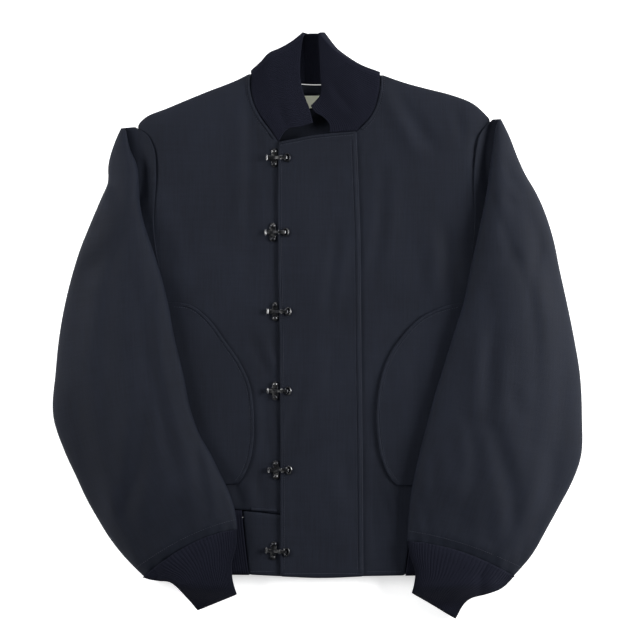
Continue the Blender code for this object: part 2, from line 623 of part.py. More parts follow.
# Collar
def collar(knit):
    """One knit band: a half over each side, folded at the slanting edges round to the back."""
    def half(table, seam, count):
        base, upper = on_chords(seam, count), spaced(table["upper"], count)
        inward = np.array(NECK_CENTRE) - base
        base += COLLAR_SEAM_GAP * inward / np.linalg.norm(inward, axis=1, keepdims=True)
        end, fold = spaced(table["end"], COLLAR_ROWS), spaced(table["fold"], COLLAR_ROWS)
        end[0], fold[0], upper[-1] = base[0], base[-1], fold[-1]
        return patch(base, upper, end, fold)

    flap_top = spaced(FLAP_TOP, FLAP_COLUMNS)
    start = (COLLAR_LEFT_START, np.interp(COLLAR_LEFT_START, flap_top[:, 0], flap_top[:, 1]))
    over_flap = flap_top[flap_top[:, 0] > COLLAR_LEFT_START]
    seam_left = np.vstack([[start], over_flap, spaced(LEFT_NECK, NECK_COLUMNS)[1:]])
    right = half(COLLAR_RIGHT, spaced(RIGHT_NECK, NECK_COLUMNS)[::-1], COLLAR_RIGHT_COLUMNS)
    left = half(COLLAR_LEFT, seam_left, COLLAR_LEFT_COLUMNS)
    neck = spaced(BACK_NECK, COLLAR_BACK_COLUMNS) + np.array([0, COLLAR_BACK_GAP])
    neck[0], neck[-1] = right[0, -1], left[0, -1]
    crest = np.linspace(right[-1, -1], left[-1, -1], COLLAR_BACK_COLUMNS + 1)
    back = patch(neck, crest, right[:, -1], left[:, -1])
    plan = np.hstack([right, back[:, 1:], left[:, -2::-1]])
    turn_right = COLLAR_RIGHT_COLUMNS
    turn_left = turn_right + COLLAR_BACK_COLUMNS
    column = np.arange(plan.shape[1])
    on_back = (column > turn_right) & (column < turn_left)
    centre = (COLLAR_HIGH + COLLAR_LOW) / 2
    reach = (COLLAR_HIGH - COLLAR_LOW) / 2
    from_fold = np.minimum(np.linalg.norm(plan - plan[:, turn_right][:, None], axis=2),
                           np.linalg.norm(plan - plan[:, turn_left][:, None], axis=2))
    swing = np.sqrt(1 - (1 - np.clip(from_fold / reach, 0, 1)) ** 2)
    height = centre + reach * swing * np.where(on_back, -1, 1)
    middle = raised(plan, height)
    tangent = np.gradient(middle, axis=1)
    upward = np.gradient(middle, axis=0)
    outward = np.cross(tangent, upward)
    outward /= np.linalg.norm(outward, axis=2, keepdims=True)
    outward *= np.sign(outward[COLLAR_ROWS // 2, COLLAR_RIGHT_COLUMNS // 5, 2])
    ribs = np.where(column % 2, RIB_HEIGHT, 0) * ~on_back
    inside = middle - outward * COLLAR_HALF_WALL
    outside = middle + outward * (COLLAR_HALF_WALL - COLLAR_RIB_SINK + ribs[None, :, None])
    inside[..., 2] = np.maximum(inside[..., 2], 0)
    outside[..., 2] = np.maximum(outside[..., 2], 0)
    wall("collar", inside, outside, knit)


# Clips
def stacked_faces(count, loops=2):
    """Side and cap faces between loops of points that follow each other."""
    faces = [tuple(reversed(range(count))), tuple(range((loops - 1) * count, loops * count))]
    for base in range(0, (loops - 1) * count, count):
        for k in range(count):
            after = (k + 1) % count
            faces.append((base + k, base + after, base + count + after, base + count + k))
    return faces


def prism(outline, low, high, axis):
    """Points and faces of an outline pushed along z or y."""
    points = []
    for level in (low, high):
        for a, b in outline:
            points.append((a, b, level) if axis == "z" else (a, level, b))
    return points, stacked_faces(len(outline))


def placed(points, x, y, z, turn):
    """Points turned about z and moved to their place."""
    c, s = math.cos(math.radians(turn)), math.sin(math.radians(turn))
    return [(x + c * px - s * py, y + s * px + c * py, z + pz) for px, py, pz in points]


def rounded_end(x, y, radius, start, stop, steps=5):
    """Points on an arc, angles in degrees."""
    return [(x + radius * math.cos(math.radians(a)), y + radius * math.sin(math.radians(a)))
            for a in np.linspace(start, stop, steps)]


def clip_plate(name, x, y, seat, turn, metal):
    """Cross-shaped plate with a domed rivet at each end of its upright arm."""
    ear, arm = PLATE_EAR, PLATE_ARM
    foot = [(-ear, arm), (-PLATE_REACH, arm), (-PLATE_REACH, -arm), (-ear, -arm)]
    outline = (rounded_end(0, RIVET_REACH, ear, 0, 180) + foot
               + rounded_end(0, -RIVET_REACH, ear, 180, 360) + [(ear, -arm), (ear, arm)])
    points, faces = prism(outline, 0, PLATE_THICK, "z")
    plate = add_object(name, placed(points, x, y, seat, turn), faces, metal)
    around = np.linspace(0, 2 * math.pi, RIVET_SIDES, endpoint=False)
    for sign in (-1, 1):
        dome = [(radius * math.cos(a), RIVET_REACH * sign + radius * math.sin(a), z)
                for radius, z in RIVET_PROFILE for a in around]
        dome_faces = stacked_faces(RIVET_SIDES, len(RIVET_PROFILE))
        rivet = add_object(f"{name}_rivet_{sign}", placed(dome, x, y, seat, turn), dome_faces, metal)
        rivet.hide_render = True
        rivet.display_type = "WIRE"
        union = plate.modifiers.new("rivet", "BOOLEAN")
        union.operation = "UNION"
        union.object = rivet


def clip_hook(name, x, y, seat, turn, metal):
    """Lever: a rolled bar at one end, a flat arm, and a hooked tip inside the ring."""
    points, faces = prism(LEVER_PROFILE, -LEVER_HALF, LEVER_HALF, "y")
    add_object(name, placed(points, x, y, seat, turn), faces, metal)


def clip_ring(name, x, y, seat, turn, metal):
    """Oval wire ring that the hook holds."""
    around = np.linspace(0, 2 * math.pi, RING_STEPS, endpoint=False)
    section = np.linspace(0, 2 * math.pi, RING_SIDES, endpoint=False)
    points = []
    faces = []
    for k, a in enumerate(around):
        ahead = math.atan2(RING_WIDE * math.sin(a), RING_TALL * math.cos(a))
        here, after = k * RING_SIDES, (k + 1) % RING_STEPS * RING_SIDES
        for m, b in enumerate(section):
            out = RING_WIRE * math.cos(b)
            points.append((RING_AHEAD + RING_WIDE * math.cos(a) + out * math.cos(ahead),
                           RING_TALL * math.sin(a) + out * math.sin(ahead), RING_WIRE * math.sin(b)))
            beside = (m + 1) % RING_SIDES
            faces.append((here + m, after + m, after + beside, here + beside))
    add_object(name, placed(points, x, y, seat + RING_WIRE, turn), faces, metal)


def clips(metal):
    """Six clips down the flap's free edge: plate on the right front, ring on the flap."""

    def highest(x, y, across_x, across_y):
        places = np.array([(x + dx, y + dy) for dx in across_x for dy in across_y])
        return torso_top(places[:, 0], places[:, 1]).max()

    for k, (x, y, turn) in enumerate(zip(CLIP_X, CLIP_Y, CLIP_TURN), start=1):
        plate_seat = highest(x, y, (-12, -6, 0, 4), (-12, 0, 12)) + CLIP_SEAT
        ring_seat = highest(x + RING_AHEAD, y, (-6, 0, 5), (-6, 0, 6)) + LAY_GAP + FLAP_CLOTH + RING_SEAT
        level = max(plate_seat, ring_seat - RING_BELOW_LEVER)
        clip_plate(f"clip_{k}_plate", x + PLATE_SHIFT, y, plate_seat, turn, metal)
        clip_hook(f"clip_{k}_hook", x, y, level + LEVER_LIFT, turn, metal)
        clip_ring(f"clip_{k}_ring", x, y, ring_seat, turn, metal)


def main():
    for old in list(bpy.data.objects):
        bpy.data.objects.remove(old, do_unlink=True)
    cloth = material("navy_cloth", (0.016, 0.019, 0.030), 0.75)
    knit = material("navy_knit", (0.011, 0.012, 0.022), 0.9)
    facing_cloth = material("neck_cloth", (0.016, 0.019, 0.030), 0.8)
    label_cloth = material("label_cloth", (0.72, 0.73, 0.60), 0.8)
    metal = material("dark_metal", (0.05, 0.05, 0.055), 0.3, 1.0)
    back_pieces(cloth, knit)
    front_pieces(cloth, knit)
    pocket("pocket_right", POCKET_RIGHT, cloth)
    pocket("pocket_left", POCKET_LEFT, cloth)
    neck_inside(facing_cloth, label_cloth)
    sleeve("right", SLEEVE_RIGHT, SLEEVE_FOLDS_RIGHT, cloth)
    sleeve("left", SLEEVE_LEFT, SLEEVE_FOLDS_LEFT, cloth)
    cuff("cuff_right", CUFF_RIGHT, knit)
    cuff("cuff_left", CUFF_LEFT, knit)
    collar(knit)
    clips(metal)


main()
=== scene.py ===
"""Looks of the deck jacket: fine cloth, rib knit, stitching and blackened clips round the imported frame.

The frame is in metres. Tables here are in millimetres, seen from above, as the jacket lies:
x to the viewer's right, y to the collar. Right and left in the names are the wearer's.
"""
import math

import bmesh
import bpy
import numpy as np
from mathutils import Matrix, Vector


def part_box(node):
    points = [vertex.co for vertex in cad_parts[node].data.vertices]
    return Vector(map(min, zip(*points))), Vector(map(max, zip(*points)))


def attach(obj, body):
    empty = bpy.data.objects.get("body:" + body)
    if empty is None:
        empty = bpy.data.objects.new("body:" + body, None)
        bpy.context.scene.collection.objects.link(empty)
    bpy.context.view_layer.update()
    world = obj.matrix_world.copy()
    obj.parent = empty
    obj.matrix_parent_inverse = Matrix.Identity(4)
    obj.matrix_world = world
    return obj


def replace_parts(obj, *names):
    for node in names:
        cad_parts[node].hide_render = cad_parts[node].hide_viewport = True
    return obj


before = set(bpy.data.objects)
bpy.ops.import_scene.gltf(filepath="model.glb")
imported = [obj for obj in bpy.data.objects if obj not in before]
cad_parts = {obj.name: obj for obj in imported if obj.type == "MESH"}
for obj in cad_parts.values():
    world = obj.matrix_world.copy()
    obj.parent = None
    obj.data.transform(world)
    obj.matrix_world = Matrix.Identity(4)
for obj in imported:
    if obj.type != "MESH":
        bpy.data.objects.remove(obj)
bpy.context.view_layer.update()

# Thicknesses and levels, in millimetres
CLOTH = 2.5
PANEL = 3.0
KNIT = 3.5
SEAM_GAP = 0.15
LAY_GAP = 0.4
EDGE_TOP = 9.3
CROWN_TOP = 18.5
ROLL = 14.0
BACK_EDGE_LIFT = 3.0
POCKET_CLOTH = 1.5
FACING_DEPTH = 10.8
SLEEVE_CLEAR = 3.2
SLEEVE_LOFT = 22.0
DRAPE_RUN = 34.0
DRAPE_START = 8.0
CUFF_HEIGHT = 17.0
RIB_PITCH = 3.1
RIB_HEIGHT = 0.75
COLLAR_HIGH = 16.0
COLLAR_LOW = 2.0
COLLAR_SEAM_GAP = 0.15
COLLAR_BACK_GAP = 0.4
NECK_CENTRE = (-5, 300)
COLLAR_LEFT_START = 16.0
EVENING = 240
ROW_STEPS = 84
WAIST_STEP = 12
FINER = 3
CLIP_Y = (219, 122, 19, -84, -187, -292)
CLIP_X = (-56, -58, -55, -55, -54, -57)
CLIP_TURN = (0, 0, 0, 0, 0, -5)
RING_AHEAD = 16.5

# The photograph's frame, straight down
VIEW_CENTRE = (3.0, 8.0)
VIEW_WIDTH = 832.0
VIEW_DISTANCE = 2600.0
SENSOR = 36.0

# Outlines of the torso, x and y of each point
RIGHT_SIDE = ((-208, -323), (-238, -265), (-260, -200), (-273, -122), (-275, -31), (-272, 21),
              (-266, 67), (-252, 112), (-236, 150), (-227, 190), (-227, 230), (-236, 262))
LEFT_SIDE = ((211, -323), (243, -265), (266, -200), (280, -122), (282, -31), (276, 21),
             (262, 70), (244, 112), (230, 150), (221, 190), (219, 230), (226, 270))
RIGHT_SHOULDER = ((-236, 262), (-227, 272), (-199, 284), (-146, 306), (-101, 324), (-86, 332))
LEFT_SHOULDER = ((81, 330), (115, 318), (145, 310), (173, 303), (205, 290), (226, 270))
RIGHT_NECK = ((-86, 332), (-86, 301), (-76, 275), (-62, 256), (-51, 240))
LEFT_NECK = ((51, 254), (70, 275), (80, 304), (81, 330))
BACK_NECK = ((-86, 332), (-49, 321), (-4, 316), (42, 320), (81, 330))
FLAP_EDGE = ((-49, -326), (-49, -161), (-50, -18), (-52, 99), (-52, 203), (-51, 240))
FLAP_SEAM = ((60, -326), (59, -161), (57, -5), (56, 112), (51, 254))
FLAP_TOP = ((-51, 240), (-30, 244), (-9, 248), (15, 251), (51, 254))
HEM_RIGHT = ((-208, -323), (-89, -324), (-49, -326))
HEM_FLAP = ((-49, -326), (3, -328), (60, -326))
HEM_LEFT = ((60, -326), (114, -325), (211, -323))

POCKET_RIGHT = ((-187, 31), (-166, 28), (-143, 11), (-121, -18), (-101, -47), (-88, -76),
                (-83, -109), (-83, -148), (-88, -177), (-96, -195), (-104, -206))
POCKET_LEFT = ((181, 30), (159, 24), (133, 11), (111, -11), (91, -41), (80, -76),
               (76, -109), (77, -141), (82, -171), (91, -193), (102, -208))
POCKET_BACK = 0.84

SLEEVE_RIGHT = {
    "inner": ((-250, 256), (-244, 229), (-236, 212), (-233, 190), (-232, 165), (-226, 135), (-217, 108),
              (-206, 75), (-195, 34), (-186, -14), (-175, -59), (-164, -111), (-153, -141),
              (-138, -167), (-127, -190), (-115, -215), (-107, -240), (-104, -264)),
    "armhole": ((-238, 260), (-222, 250), (-213, 232), (-210, 205), (-211, 175), (-213, 140), (-211, 108),
                (-205, 75)),
    "outer": ((-256, 259), (-266, 238), (-274, 208), (-274, 187), (-281, 171), (-296, 136), (-312, 96),
              (-327, 45), (-337, -5), (-343, -60), (-346, -119), (-332, -162), (-315, -199),
              (-301, -229), (-289, -250), (-273, -276), (-252, -302), (-226, -327)),
    "bow": 12,
}
SLEEVE_LEFT = {
    "inner": ((232, 262), (229, 240), (225, 212), (220, 177), (213, 142), (205, 106), (197, 70),
              (190, 34), (175, -14), (161, -59), (150, -95), (142, -126), (134, -156),
              (128, -182), (123, -205), (119, -232), (117, -256), (116, -279)),
    "armhole": ((228, 270), (212, 252), (205, 222), (203, 190), (204, 155), (203, 120), (197, 70)),
    "outer": ((238, 271), (252, 244), (261, 221), (273, 195), (284, 177), (296, 151), (308, 114),
              (317, 72), (325, 36), (336, -18), (343, -60), (346, -118), (344, -174),
              (332, -206), (317, -234), (300, -265), (280, -300), (256, -328)),
    "bow": 10,
}
CUFF_RIGHT = (
    # share, inner x, inner y, outer x, outer y, bow
    (0.00, -104, -265, -226, -328, 12),
    (0.30, -106, -285, -204, -331, 8),
    (0.55, -111, -305, -186, -332, 4),
    (0.80, -110, -327, -172, -346, 1),
    (1.00, -105, -348, -157, -371, 0),
)
CUFF_LEFT = (
    (0.00, 116, -280, 256, -329, 10),
    (0.30, 120, -298, 239, -343, 7),
    (0.55, 126, -318, 212, -350, 4),
    (0.80, 125, -333, 190, -356, 2),
    (1.00, 122, -346, 180, -382, 0),
)
COLLAR_RIGHT = {
    "upper": ((-6, 265), (-11, 284), (-18, 303), (-22, 320), (-22, 354), (-18, 382)),
    "end": ((-51, 240), (-40, 256), (-20, 260), (-6, 265)),
    "fold": ((-86, 332), (-72, 345), (-63, 355), (-48, 362), (-30, 373), (-18, 383)),
}
COLLAR_LEFT = {
    "upper": ((-9, 287), (3, 301), (3, 328), (2, 354), (1, 370), (1, 382)),
    "end": ((16, 251.3), (15, 263), (6, 273), (-4, 279), (-9, 287)),
    "fold": ((81, 330), (52, 342), (38, 351), (24, 362), (16, 372), (8, 383)),
}

# Creases: points, depth (a ridge is positive) and half width
TORSO_CREASES = (
    (((-95, 292), (-90, 230), (-89, 169), (-92, 85)), -3.0, 8),
    (((-104, 300), (-100, 250), (-101, 190)), 1.6, 9),
    (((-89, 275), (-76, 225), (-71, 184)), -1.6, 6),
    (((-117, 306), (-126, 285), (-133, 255)), -1.8, 8),
    (((-179, 275), (-186, 255), (-190, 225)), -1.6, 7),
    (((-212, 247), (-214, 215), (-208, 175)), -1.8, 6),
    (((-197, 120), (-193, 95), (-186, 68)), -1.8, 7),
    (((-160, 200), (-150, 130), (-140, 60)), 1.3, 22),
    (((-185, 210), (-176, 140), (-168, 70)), -0.9, 16),
    (((-72, -12), (-66, -35), (-56, -58)), 1.8, 6),
    (((-80, -15), (-76, -40), (-66, -62)), -1.5, 5),
    (((-69, -88), (-66, -120), (-67, -160)), -2.0, 6),
    (((-60, -100), (-58, -130), (-57, -165)), 1.2, 5),
    (((-112, -196), (-104, -215), (-98, -236)), -1.6, 5),
    (((-78, -196), (-74, -215), (-73, -236)), -1.3, 5),
    (((-88, -200), (-87, -220), (-85, -238)), 0.9, 5),
    (((28, 130), (20, 70), (9, 8)), -2.0, 6),
    (((36, 128), (30, 80), (22, 30)), 1.0, 7),
    (((22, -30), (16, -60), (12, -90)), -0.9, 7),
    (((-20, -72), (-30, -110), (-39, -152)), -2.0, 6),
    (((-10, -90), (-20, -130), (-28, -160)), 0.8, 7),
    (((40, -168), (36, -190), (33, -215)), -0.9, 7),
    (((-8, 226), (12, 233), (32, 241)), -1.3, 5),
    (((-30, 180), (-15, 120), (-10, 60)), 0.8, 14),
    (((12, 40), (2, 0), (-8, -40)), 1.2, 14),
    (((79, 322), (98, 285), (128, 228)), 2.4, 10),
    (((92, 322), (112, 285), (140, 235)), -1.2, 8),
    (((121, 275), (138, 250), (156, 226)), -1.8, 8),
    (((179, 284), (184, 265), (187, 245)), -1.8, 6),
    (((204, 262), (206, 235), (206, 205)), -1.8, 5),
    (((86, 208), (84, 160), (80, 110), (67, 62)), -1.8, 7),
    (((96, 190), (95, 140), (88, 90)), 1.0, 9),
    (((166, 128), (172, 95), (172, 45)), -3.6, 10),
    (((150, 120), (153, 80), (150, 40)), 1.5, 12),
    (((123, -28), (128, -80), (128, -152)), -0.8, 10),
    (((73, -60), (66, -110), (70, -165)), -0.8, 6),
    (((84, -214), (90, -240), (96, -262)), -1.5, 5),
    (((20, -180), (27, -240), (30, -300)), 0.9, 14),
    (((-25, -190), (-28, -240), (-26, -300)), -0.8, 12),
    (((72, -190), (74, -240), (76, -300)), -0.7, 8),
)
SLEEVE_CREASES_RIGHT = (
    (((-233, 60), (-229, 0), (-222, -60), (-220, -99)), -3.6, 9),
    (((-220, -99), (-226, -136), (-232, -182), (-252, -250)), -4.6, 8),
    (((-243, -60), (-240, -110), (-247, -165)), 2.0, 10),
    (((-212, 88), (-217, 20), (-215, -45)), -2.6, 7),
    (((-214, -42), (-205, -93), (-197, -130), (-181, -196)), -3.6, 7),
    (((-206, 20), (-203, -40), (-194, -95)), 1.8, 8),
    (((-190, -100), (-178, -150), (-166, -200)), 1.6, 8),
    (((-157, -134), (-153, -178), (-149, -228)), -3.0, 6),
    (((-141, -218), (-142, -236), (-144, -256)), -2.2, 5),
    (((-128, -212), (-124, -236), (-122, -258)), -1.6, 5),
    (((-284, -15), (-281, -70), (-266, -120)), -1.6, 12),
    (((-259, 114), (-282, 86), (-308, 58)), -2.2, 12),
    (((-264, 130), (-290, 104), (-314, 82)), 1.0, 12),
    (((-272, 186), (-264, 176), (-252, 172)), -2.4, 6),
    (((-300, 20), (-312, -45), (-316, -110)), 1.4, 22),
    (((-262, -180), (-268, -215), (-262, -262)), 1.4, 10),
    (((-208, -200), (-212, -240), (-208, -282)), -1.4, 8),
    (((-178, -225), (-178, -250), (-176, -272)), -1.4, 6),
    (((-262, 190), (-258, 160), (-250, 130)), -1.2, 9),
    (((-300, -130), (-290, -170), (-276, -215)), -1.0, 14),
)
SLEEVE_CREASES_LEFT = (
    (((231, 20), (222, -45), (220, -90), (217, -128)), -3.4, 8),
    (((217, -126), (228, -138), (236, -166), (246, -200), (254, -262)), -3.8, 8),
    (((241, -30), (236, -80), (234, -120)), 1.8, 9),
    (((207, -20), (205, -70), (204, -112)), 1.4, 9),
    (((195, -112), (200, -150), (203, -182), (194, -215), (180, -256)), -2.8, 7),
    (((186, -130), (190, -180), (180, -225)), 1.2, 8),
    (((250, -80), (254, -100), (261, -122)), -1.8, 6),
    (((262, -84), (266, -102), (272, -118)), -1.2, 6),
    (((277, 138), (286, 124), (279, 60), (280, 0), (283, -30)), -1.3, 6),
    (((238, 158), (248, 163), (254, 152)), -1.4, 6),
    (((243, 82), (251, 92), (257, 84)), -1.4, 6),
    (((262, 150), (270, 110), (268, 70)), 1.0, 10),
    (((306, 40), (318, -40), (320, -120)), 1.6, 22),
    (((262, -150), (276, -195), (290, -240)), 1.6, 16),
    (((225, 190), (234, 160), (232, 120)), 1.6, 8),
    (((243, 215), (252, 190), (262, 172)), -1.2, 7),
    (((222, 60), (217, 20), (214, -20)), -1.2, 8),
    (((150, -160), (150, -200), (146, -245)), -1.8, 7),
    (((136, -215), (137, -240), (138, -266)), -1.5, 5),
    (((222, -235), (220, -265), (222, -292)), -1.3, 7),
    (((296, -150), (304, -185), (300, -222)), -1.3, 10),
)


# Curves and grids
def along(points, shares):
    """Places at these shares of the length of a smooth curve through the points."""
    points = np.array(points, float)
    steps = np.linalg.norm(np.diff(points, axis=0), axis=1)
    reached = np.concatenate([[0], np.cumsum(steps)]) / steps.sum()
    slopes = np.gradient(points, reached, axis=0)
    shares = np.atleast_1d(shares)
    span = np.clip(np.searchsorted(reached, shares, side="right") - 1, 0, len(points) - 2)
    length = (reached[span + 1] - reached[span])[:, None]
    t = (shares - reached[span])[:, None] / length
    return ((2 * t**3 - 3 * t**2 + 1) * points[span] + (t**3 - 2 * t**2 + t) * length * slopes[span]
            + (3 * t**2 - 2 * t**3) * points[span + 1] + (t**3 - t**2) * length * slopes[span + 1])


def spaced(points, count):
    """A smooth curve's points at this number of equal steps."""
    return along(points, np.linspace(0, 1, count + 1))


def on_chords(points, count):
    """Points at equal steps along the straight runs between these points."""
    points = np.array(points, float)
    reached = np.concatenate([[0], np.cumsum(np.linalg.norm(np.diff(points, axis=0), axis=1))])
    places = np.linspace(0, reached[-1], count + 1)
    return np.stack([np.interp(places, reached, points[:, k]) for k in (0, 1)], axis=1)


def straight(points, counts):
    """Points along straight runs, each run divided into its own count."""
    runs = [np.linspace(a, b, n + 1)[:-1] for a, b, n in zip(points[:-1], points[1:], counts)]
    return np.vstack(runs + [np.array([points[-1]], float)])


def patch(bottom, top, left, right):
    """Plan grid inside four edges; bottom and top run left to right, left and right run upward."""
    u = np.linspace(0, 1, len(bottom))[None, :, None]
    v = np.linspace(0, 1, len(left))[:, None, None]
    ruled = (1 - v) * bottom[None] + v * top[None] + (1 - u) * left[:, None] + u * right[:, None]
    lower = (1 - u) * bottom[0] + u * bottom[-1]
    upper = (1 - u) * top[0] + u * top[-1]
    return ruled - (1 - v) * lower - v * upper


def evened(grid, rounds):
    """A plan grid whose inner points are drawn evenly between their neighbours."""
    grid = grid.copy()
    for _ in range(rounds):
        grid[1:-1, 1:-1] = (grid[:-2, 1:-1] + grid[2:, 1:-1] + grid[1:-1, :-2] + grid[1:-1, 2:]) / 4
    return grid


def ease(share):
    """A soft step from 0 to 1."""
    share = np.clip(share, 0, 1)
    return share * share * (3 - 2 * share)


def raised(plan, height):
    """A plan grid with a height at each point."""
    return np.dstack([plan, np.broadcast_to(height, plan.shape[:2])])


def from_segment(x, y, x1, y1, x2, y2):
    """Distance from each place to a straight segment."""
    run = (x2 - x1) ** 2 + (y2 - y1) ** 2
    share = np.clip(((x - x1) * (x2 - x1) + (y - y1) * (y2 - y1)) / run, 0, 1)
    return np.hypot(x - x1 - share * (x2 - x1), y - y1 - share * (y2 - y1))


def from_route(x, y, route):
    """Distance from each place to a chain of points, and the share of the chain's length there."""
    route = np.array(route, float)
    steps = np.linalg.norm(np.diff(route, axis=0), axis=1)
    start = np.concatenate([[0], np.cumsum(steps)])
    nearest = np.full(np.shape(x), np.inf)
    where = np.zeros(np.shape(x))
    for (x1, y1), (x2, y2), step, first in zip(route[:-1], route[1:], steps, start):
        share = np.clip(((x - x1) * (x2 - x1) + (y - y1) * (y2 - y1)) / step**2, 0, 1)
        distance = np.hypot(x - x1 - share * (x2 - x1), y - y1 - share * (y2 - y1))
        closer = distance < nearest
        nearest = np.where(closer, distance, nearest)
        where = np.where(closer, (first + share * step) / start[-1], where)
    return nearest, where


def creased(x, y, table):
    """Height that a table's soft troughs and ridges add; each fades out towards its ends."""
    height = np.zeros(np.shape(x))
    for points, depth, width in table:
        distance, share = from_route(x, y, spaced(points, 8))
        fade = np.sin(math.pi * np.clip(share * 0.94 + 0.03, 0, 1)) ** 0.6
        hollow = np.exp(-(distance / width) ** 2)
        shoulders = np.exp(-((distance - 2.1 * width) / (1.1 * width)) ** 2)
        height = height + depth * fade * (hollow - 0.28 * shoulders)
    return height


def rippled(x, y, amount):
    """Broad unevenness of cloth that has been worn and laid out."""
    waves = np.sin(x / 23 + 1.3 * np.sin(y / 61)) * np.sin(y / 47 + 0.8 * np.sin(x / 35) + 0.7)
    fine = np.sin(x / 9.5 + 2.1 * np.sin(y / 37) + 0.4) * np.sin(y / 26 + 1.7 * np.sin(x / 31))
    return amount * (0.7 * waves + 0.3 * fine)


def puckered(x, y, route, amount, reach=7.0, pitch=8.0):
    """Short gathers along a seam."""
    distance, share = from_route(x, y, route)
    length = np.linalg.norm(np.diff(np.array(route, float), axis=0), axis=1).sum()
    beat = share * length / pitch
    wave = np.sin(2 * math.pi * (beat + 0.35 * np.sin(beat * 1.7))) * (0.65 + 0.35 * np.sin(beat * 0.9))
    return amount * wave * np.exp(-(distance / reach) ** 2)


# Heights of the laid layers
def torso_edges():
    """The torso's side and shoulder lines, run on below the hem, as two chains of points."""
    below = np.array([[0, -110]])
    right_side, left_side = spaced(RIGHT_SIDE, 60), spaced(LEFT_SIDE, 60)
    right = np.vstack([right_side[:1] + below, right_side, spaced(RIGHT_SHOULDER, 30)])
    left = np.vstack([spaced(LEFT_SHOULDER, 30), left_side[::-1], left_side[:1] + below])
    return right, left


RIGHT_EDGE, LEFT_EDGE = torso_edges()


def edge_distance(x, y):
    """Distance in from the torso's sides and shoulders, negative outside them."""
    x, y = np.asarray(x, float), np.asarray(y, float)
    nearest = np.full(x.shape, np.inf)
    for chain in (RIGHT_EDGE, LEFT_EDGE):
        for (x1, y1), (x2, y2) in zip(chain[:-1], chain[1:]):
            if (x1, y1) != (x2, y2):
                nearest = np.minimum(nearest, from_segment(x, y, x1, y1, x2, y2))
    ring = np.vstack([RIGHT_EDGE, LEFT_EDGE])
    inside = np.zeros(x.shape, bool)
    for (x1, y1), (x2, y2) in zip(ring, np.roll(ring, -1, axis=0)):
        if y1 != y2:
            crosses = ((y1 > y) != (y2 > y)) & (x < (x2 - x1) * (y - y1) / (y2 - y1) + x1)
            inside ^= crosses
    return np.where(inside, nearest, -nearest)


def torso_plain(x, y):
    """Top of the front panels without folds."""
    inward = np.maximum(edge_distance(x, y), 0)
    return EDGE_TOP + (CROWN_TOP - EDGE_TOP) * (1 - np.exp(-inward / ROLL))


def torso_top(x, y):
    """Top of the front panels with their creases, ripples and puckered seams."""
    plain = torso_plain(x, y)
    fullness = (plain - EDGE_TOP) / (CROWN_TOP - EDGE_TOP)
    small = creased(x, y, TORSO_CREASES) + rippled(x, y, 0.55)
    small = small + puckered(x, y, spaced(FLAP_SEAM, 12), 0.35)
    small = small + puckered(x, y, POCKET_RIGHT, 0.3) + puckered(x, y, POCKET_LEFT, 0.3)
    return plain + small * fullness


def hem_y(x):
    """The hem's line."""
    return -328 + 5 * (np.abs(x) / 210) ** 2


def sleeve_rest(x, y):
    """What a sleeve or cuff lies on: the torso inside its outline, then down to the floor."""
    side = ease(1 + np.minimum(edge_distance(x, y) + DRAPE_START, 0) / DRAPE_RUN)
    hem = ease(1 + np.minimum(y - hem_y(x) + DRAPE_START, 0) / DRAPE_RUN)
    seated = LAY_GAP + 0.3 + SLEEVE_CLEAR * ease((115 - y) / 60)
    return (torso_plain(x, y) + seated) * side * hem


# Meshes
def sew(name, points, faces, finish, charts=None, rounding=1):
    """One piece from millimetres: mesh, material, finish slot and body; charts are its cloth's own axes."""
    mesh = bpy.data.meshes.new(name)
    mesh.from_pydata((np.asarray(points, float) * 0.001).tolist(), [], faces)
    if charts is not None:
        layer = mesh.uv_layers.new(name="cloth")
        corner = np.zeros(len(mesh.loops), int)
        mesh.loops.foreach_get("vertex_index", corner)
        layer.data.foreach_set("uv", (np.asarray(charts, float)[corner] * 0.001).ravel())
    mesh.shade_smooth()
    mesh.materials.append(finish)
    piece = bpy.data.objects.new(name, mesh)
    bpy.context.scene.collection.objects.link(piece)
    if rounding:
        softer = piece.modifiers.new("soft_edges", "SUBSURF")
        softer.levels = rounding
        softer.render_levels = rounding
        softer.uv_smooth = "PRESERVE_BOUNDARIES"
    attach(piece, "root")
    return piece


def drawn_in(grid, cells):
    """Grid points on the border of the chosen cells, moved in by the seam gap."""
    centres = (grid[:-1, :-1] + grid[1:, :-1] + grid[:-1, 1:] + grid[1:, 1:]) / 4
    total = np.zeros(grid.shape)
    count = np.zeros(grid.shape[:2])
    for rows in (slice(None, -1), slice(1, None)):
        for columns in (slice(None, -1), slice(1, None)):
            total[rows, columns] += centres * cells[..., None]
            count[rows, columns] += cells
    border = (count > 0) & (count < 4)
    towards = total / np.maximum(count, 1)[..., None] - grid
    towards[..., 2] = 0
    towards /= np.maximum(np.linalg.norm(towards, axis=2, keepdims=True), 1e-6)
    return grid + np.where(border[..., None], towards * SEAM_GAP, 0)


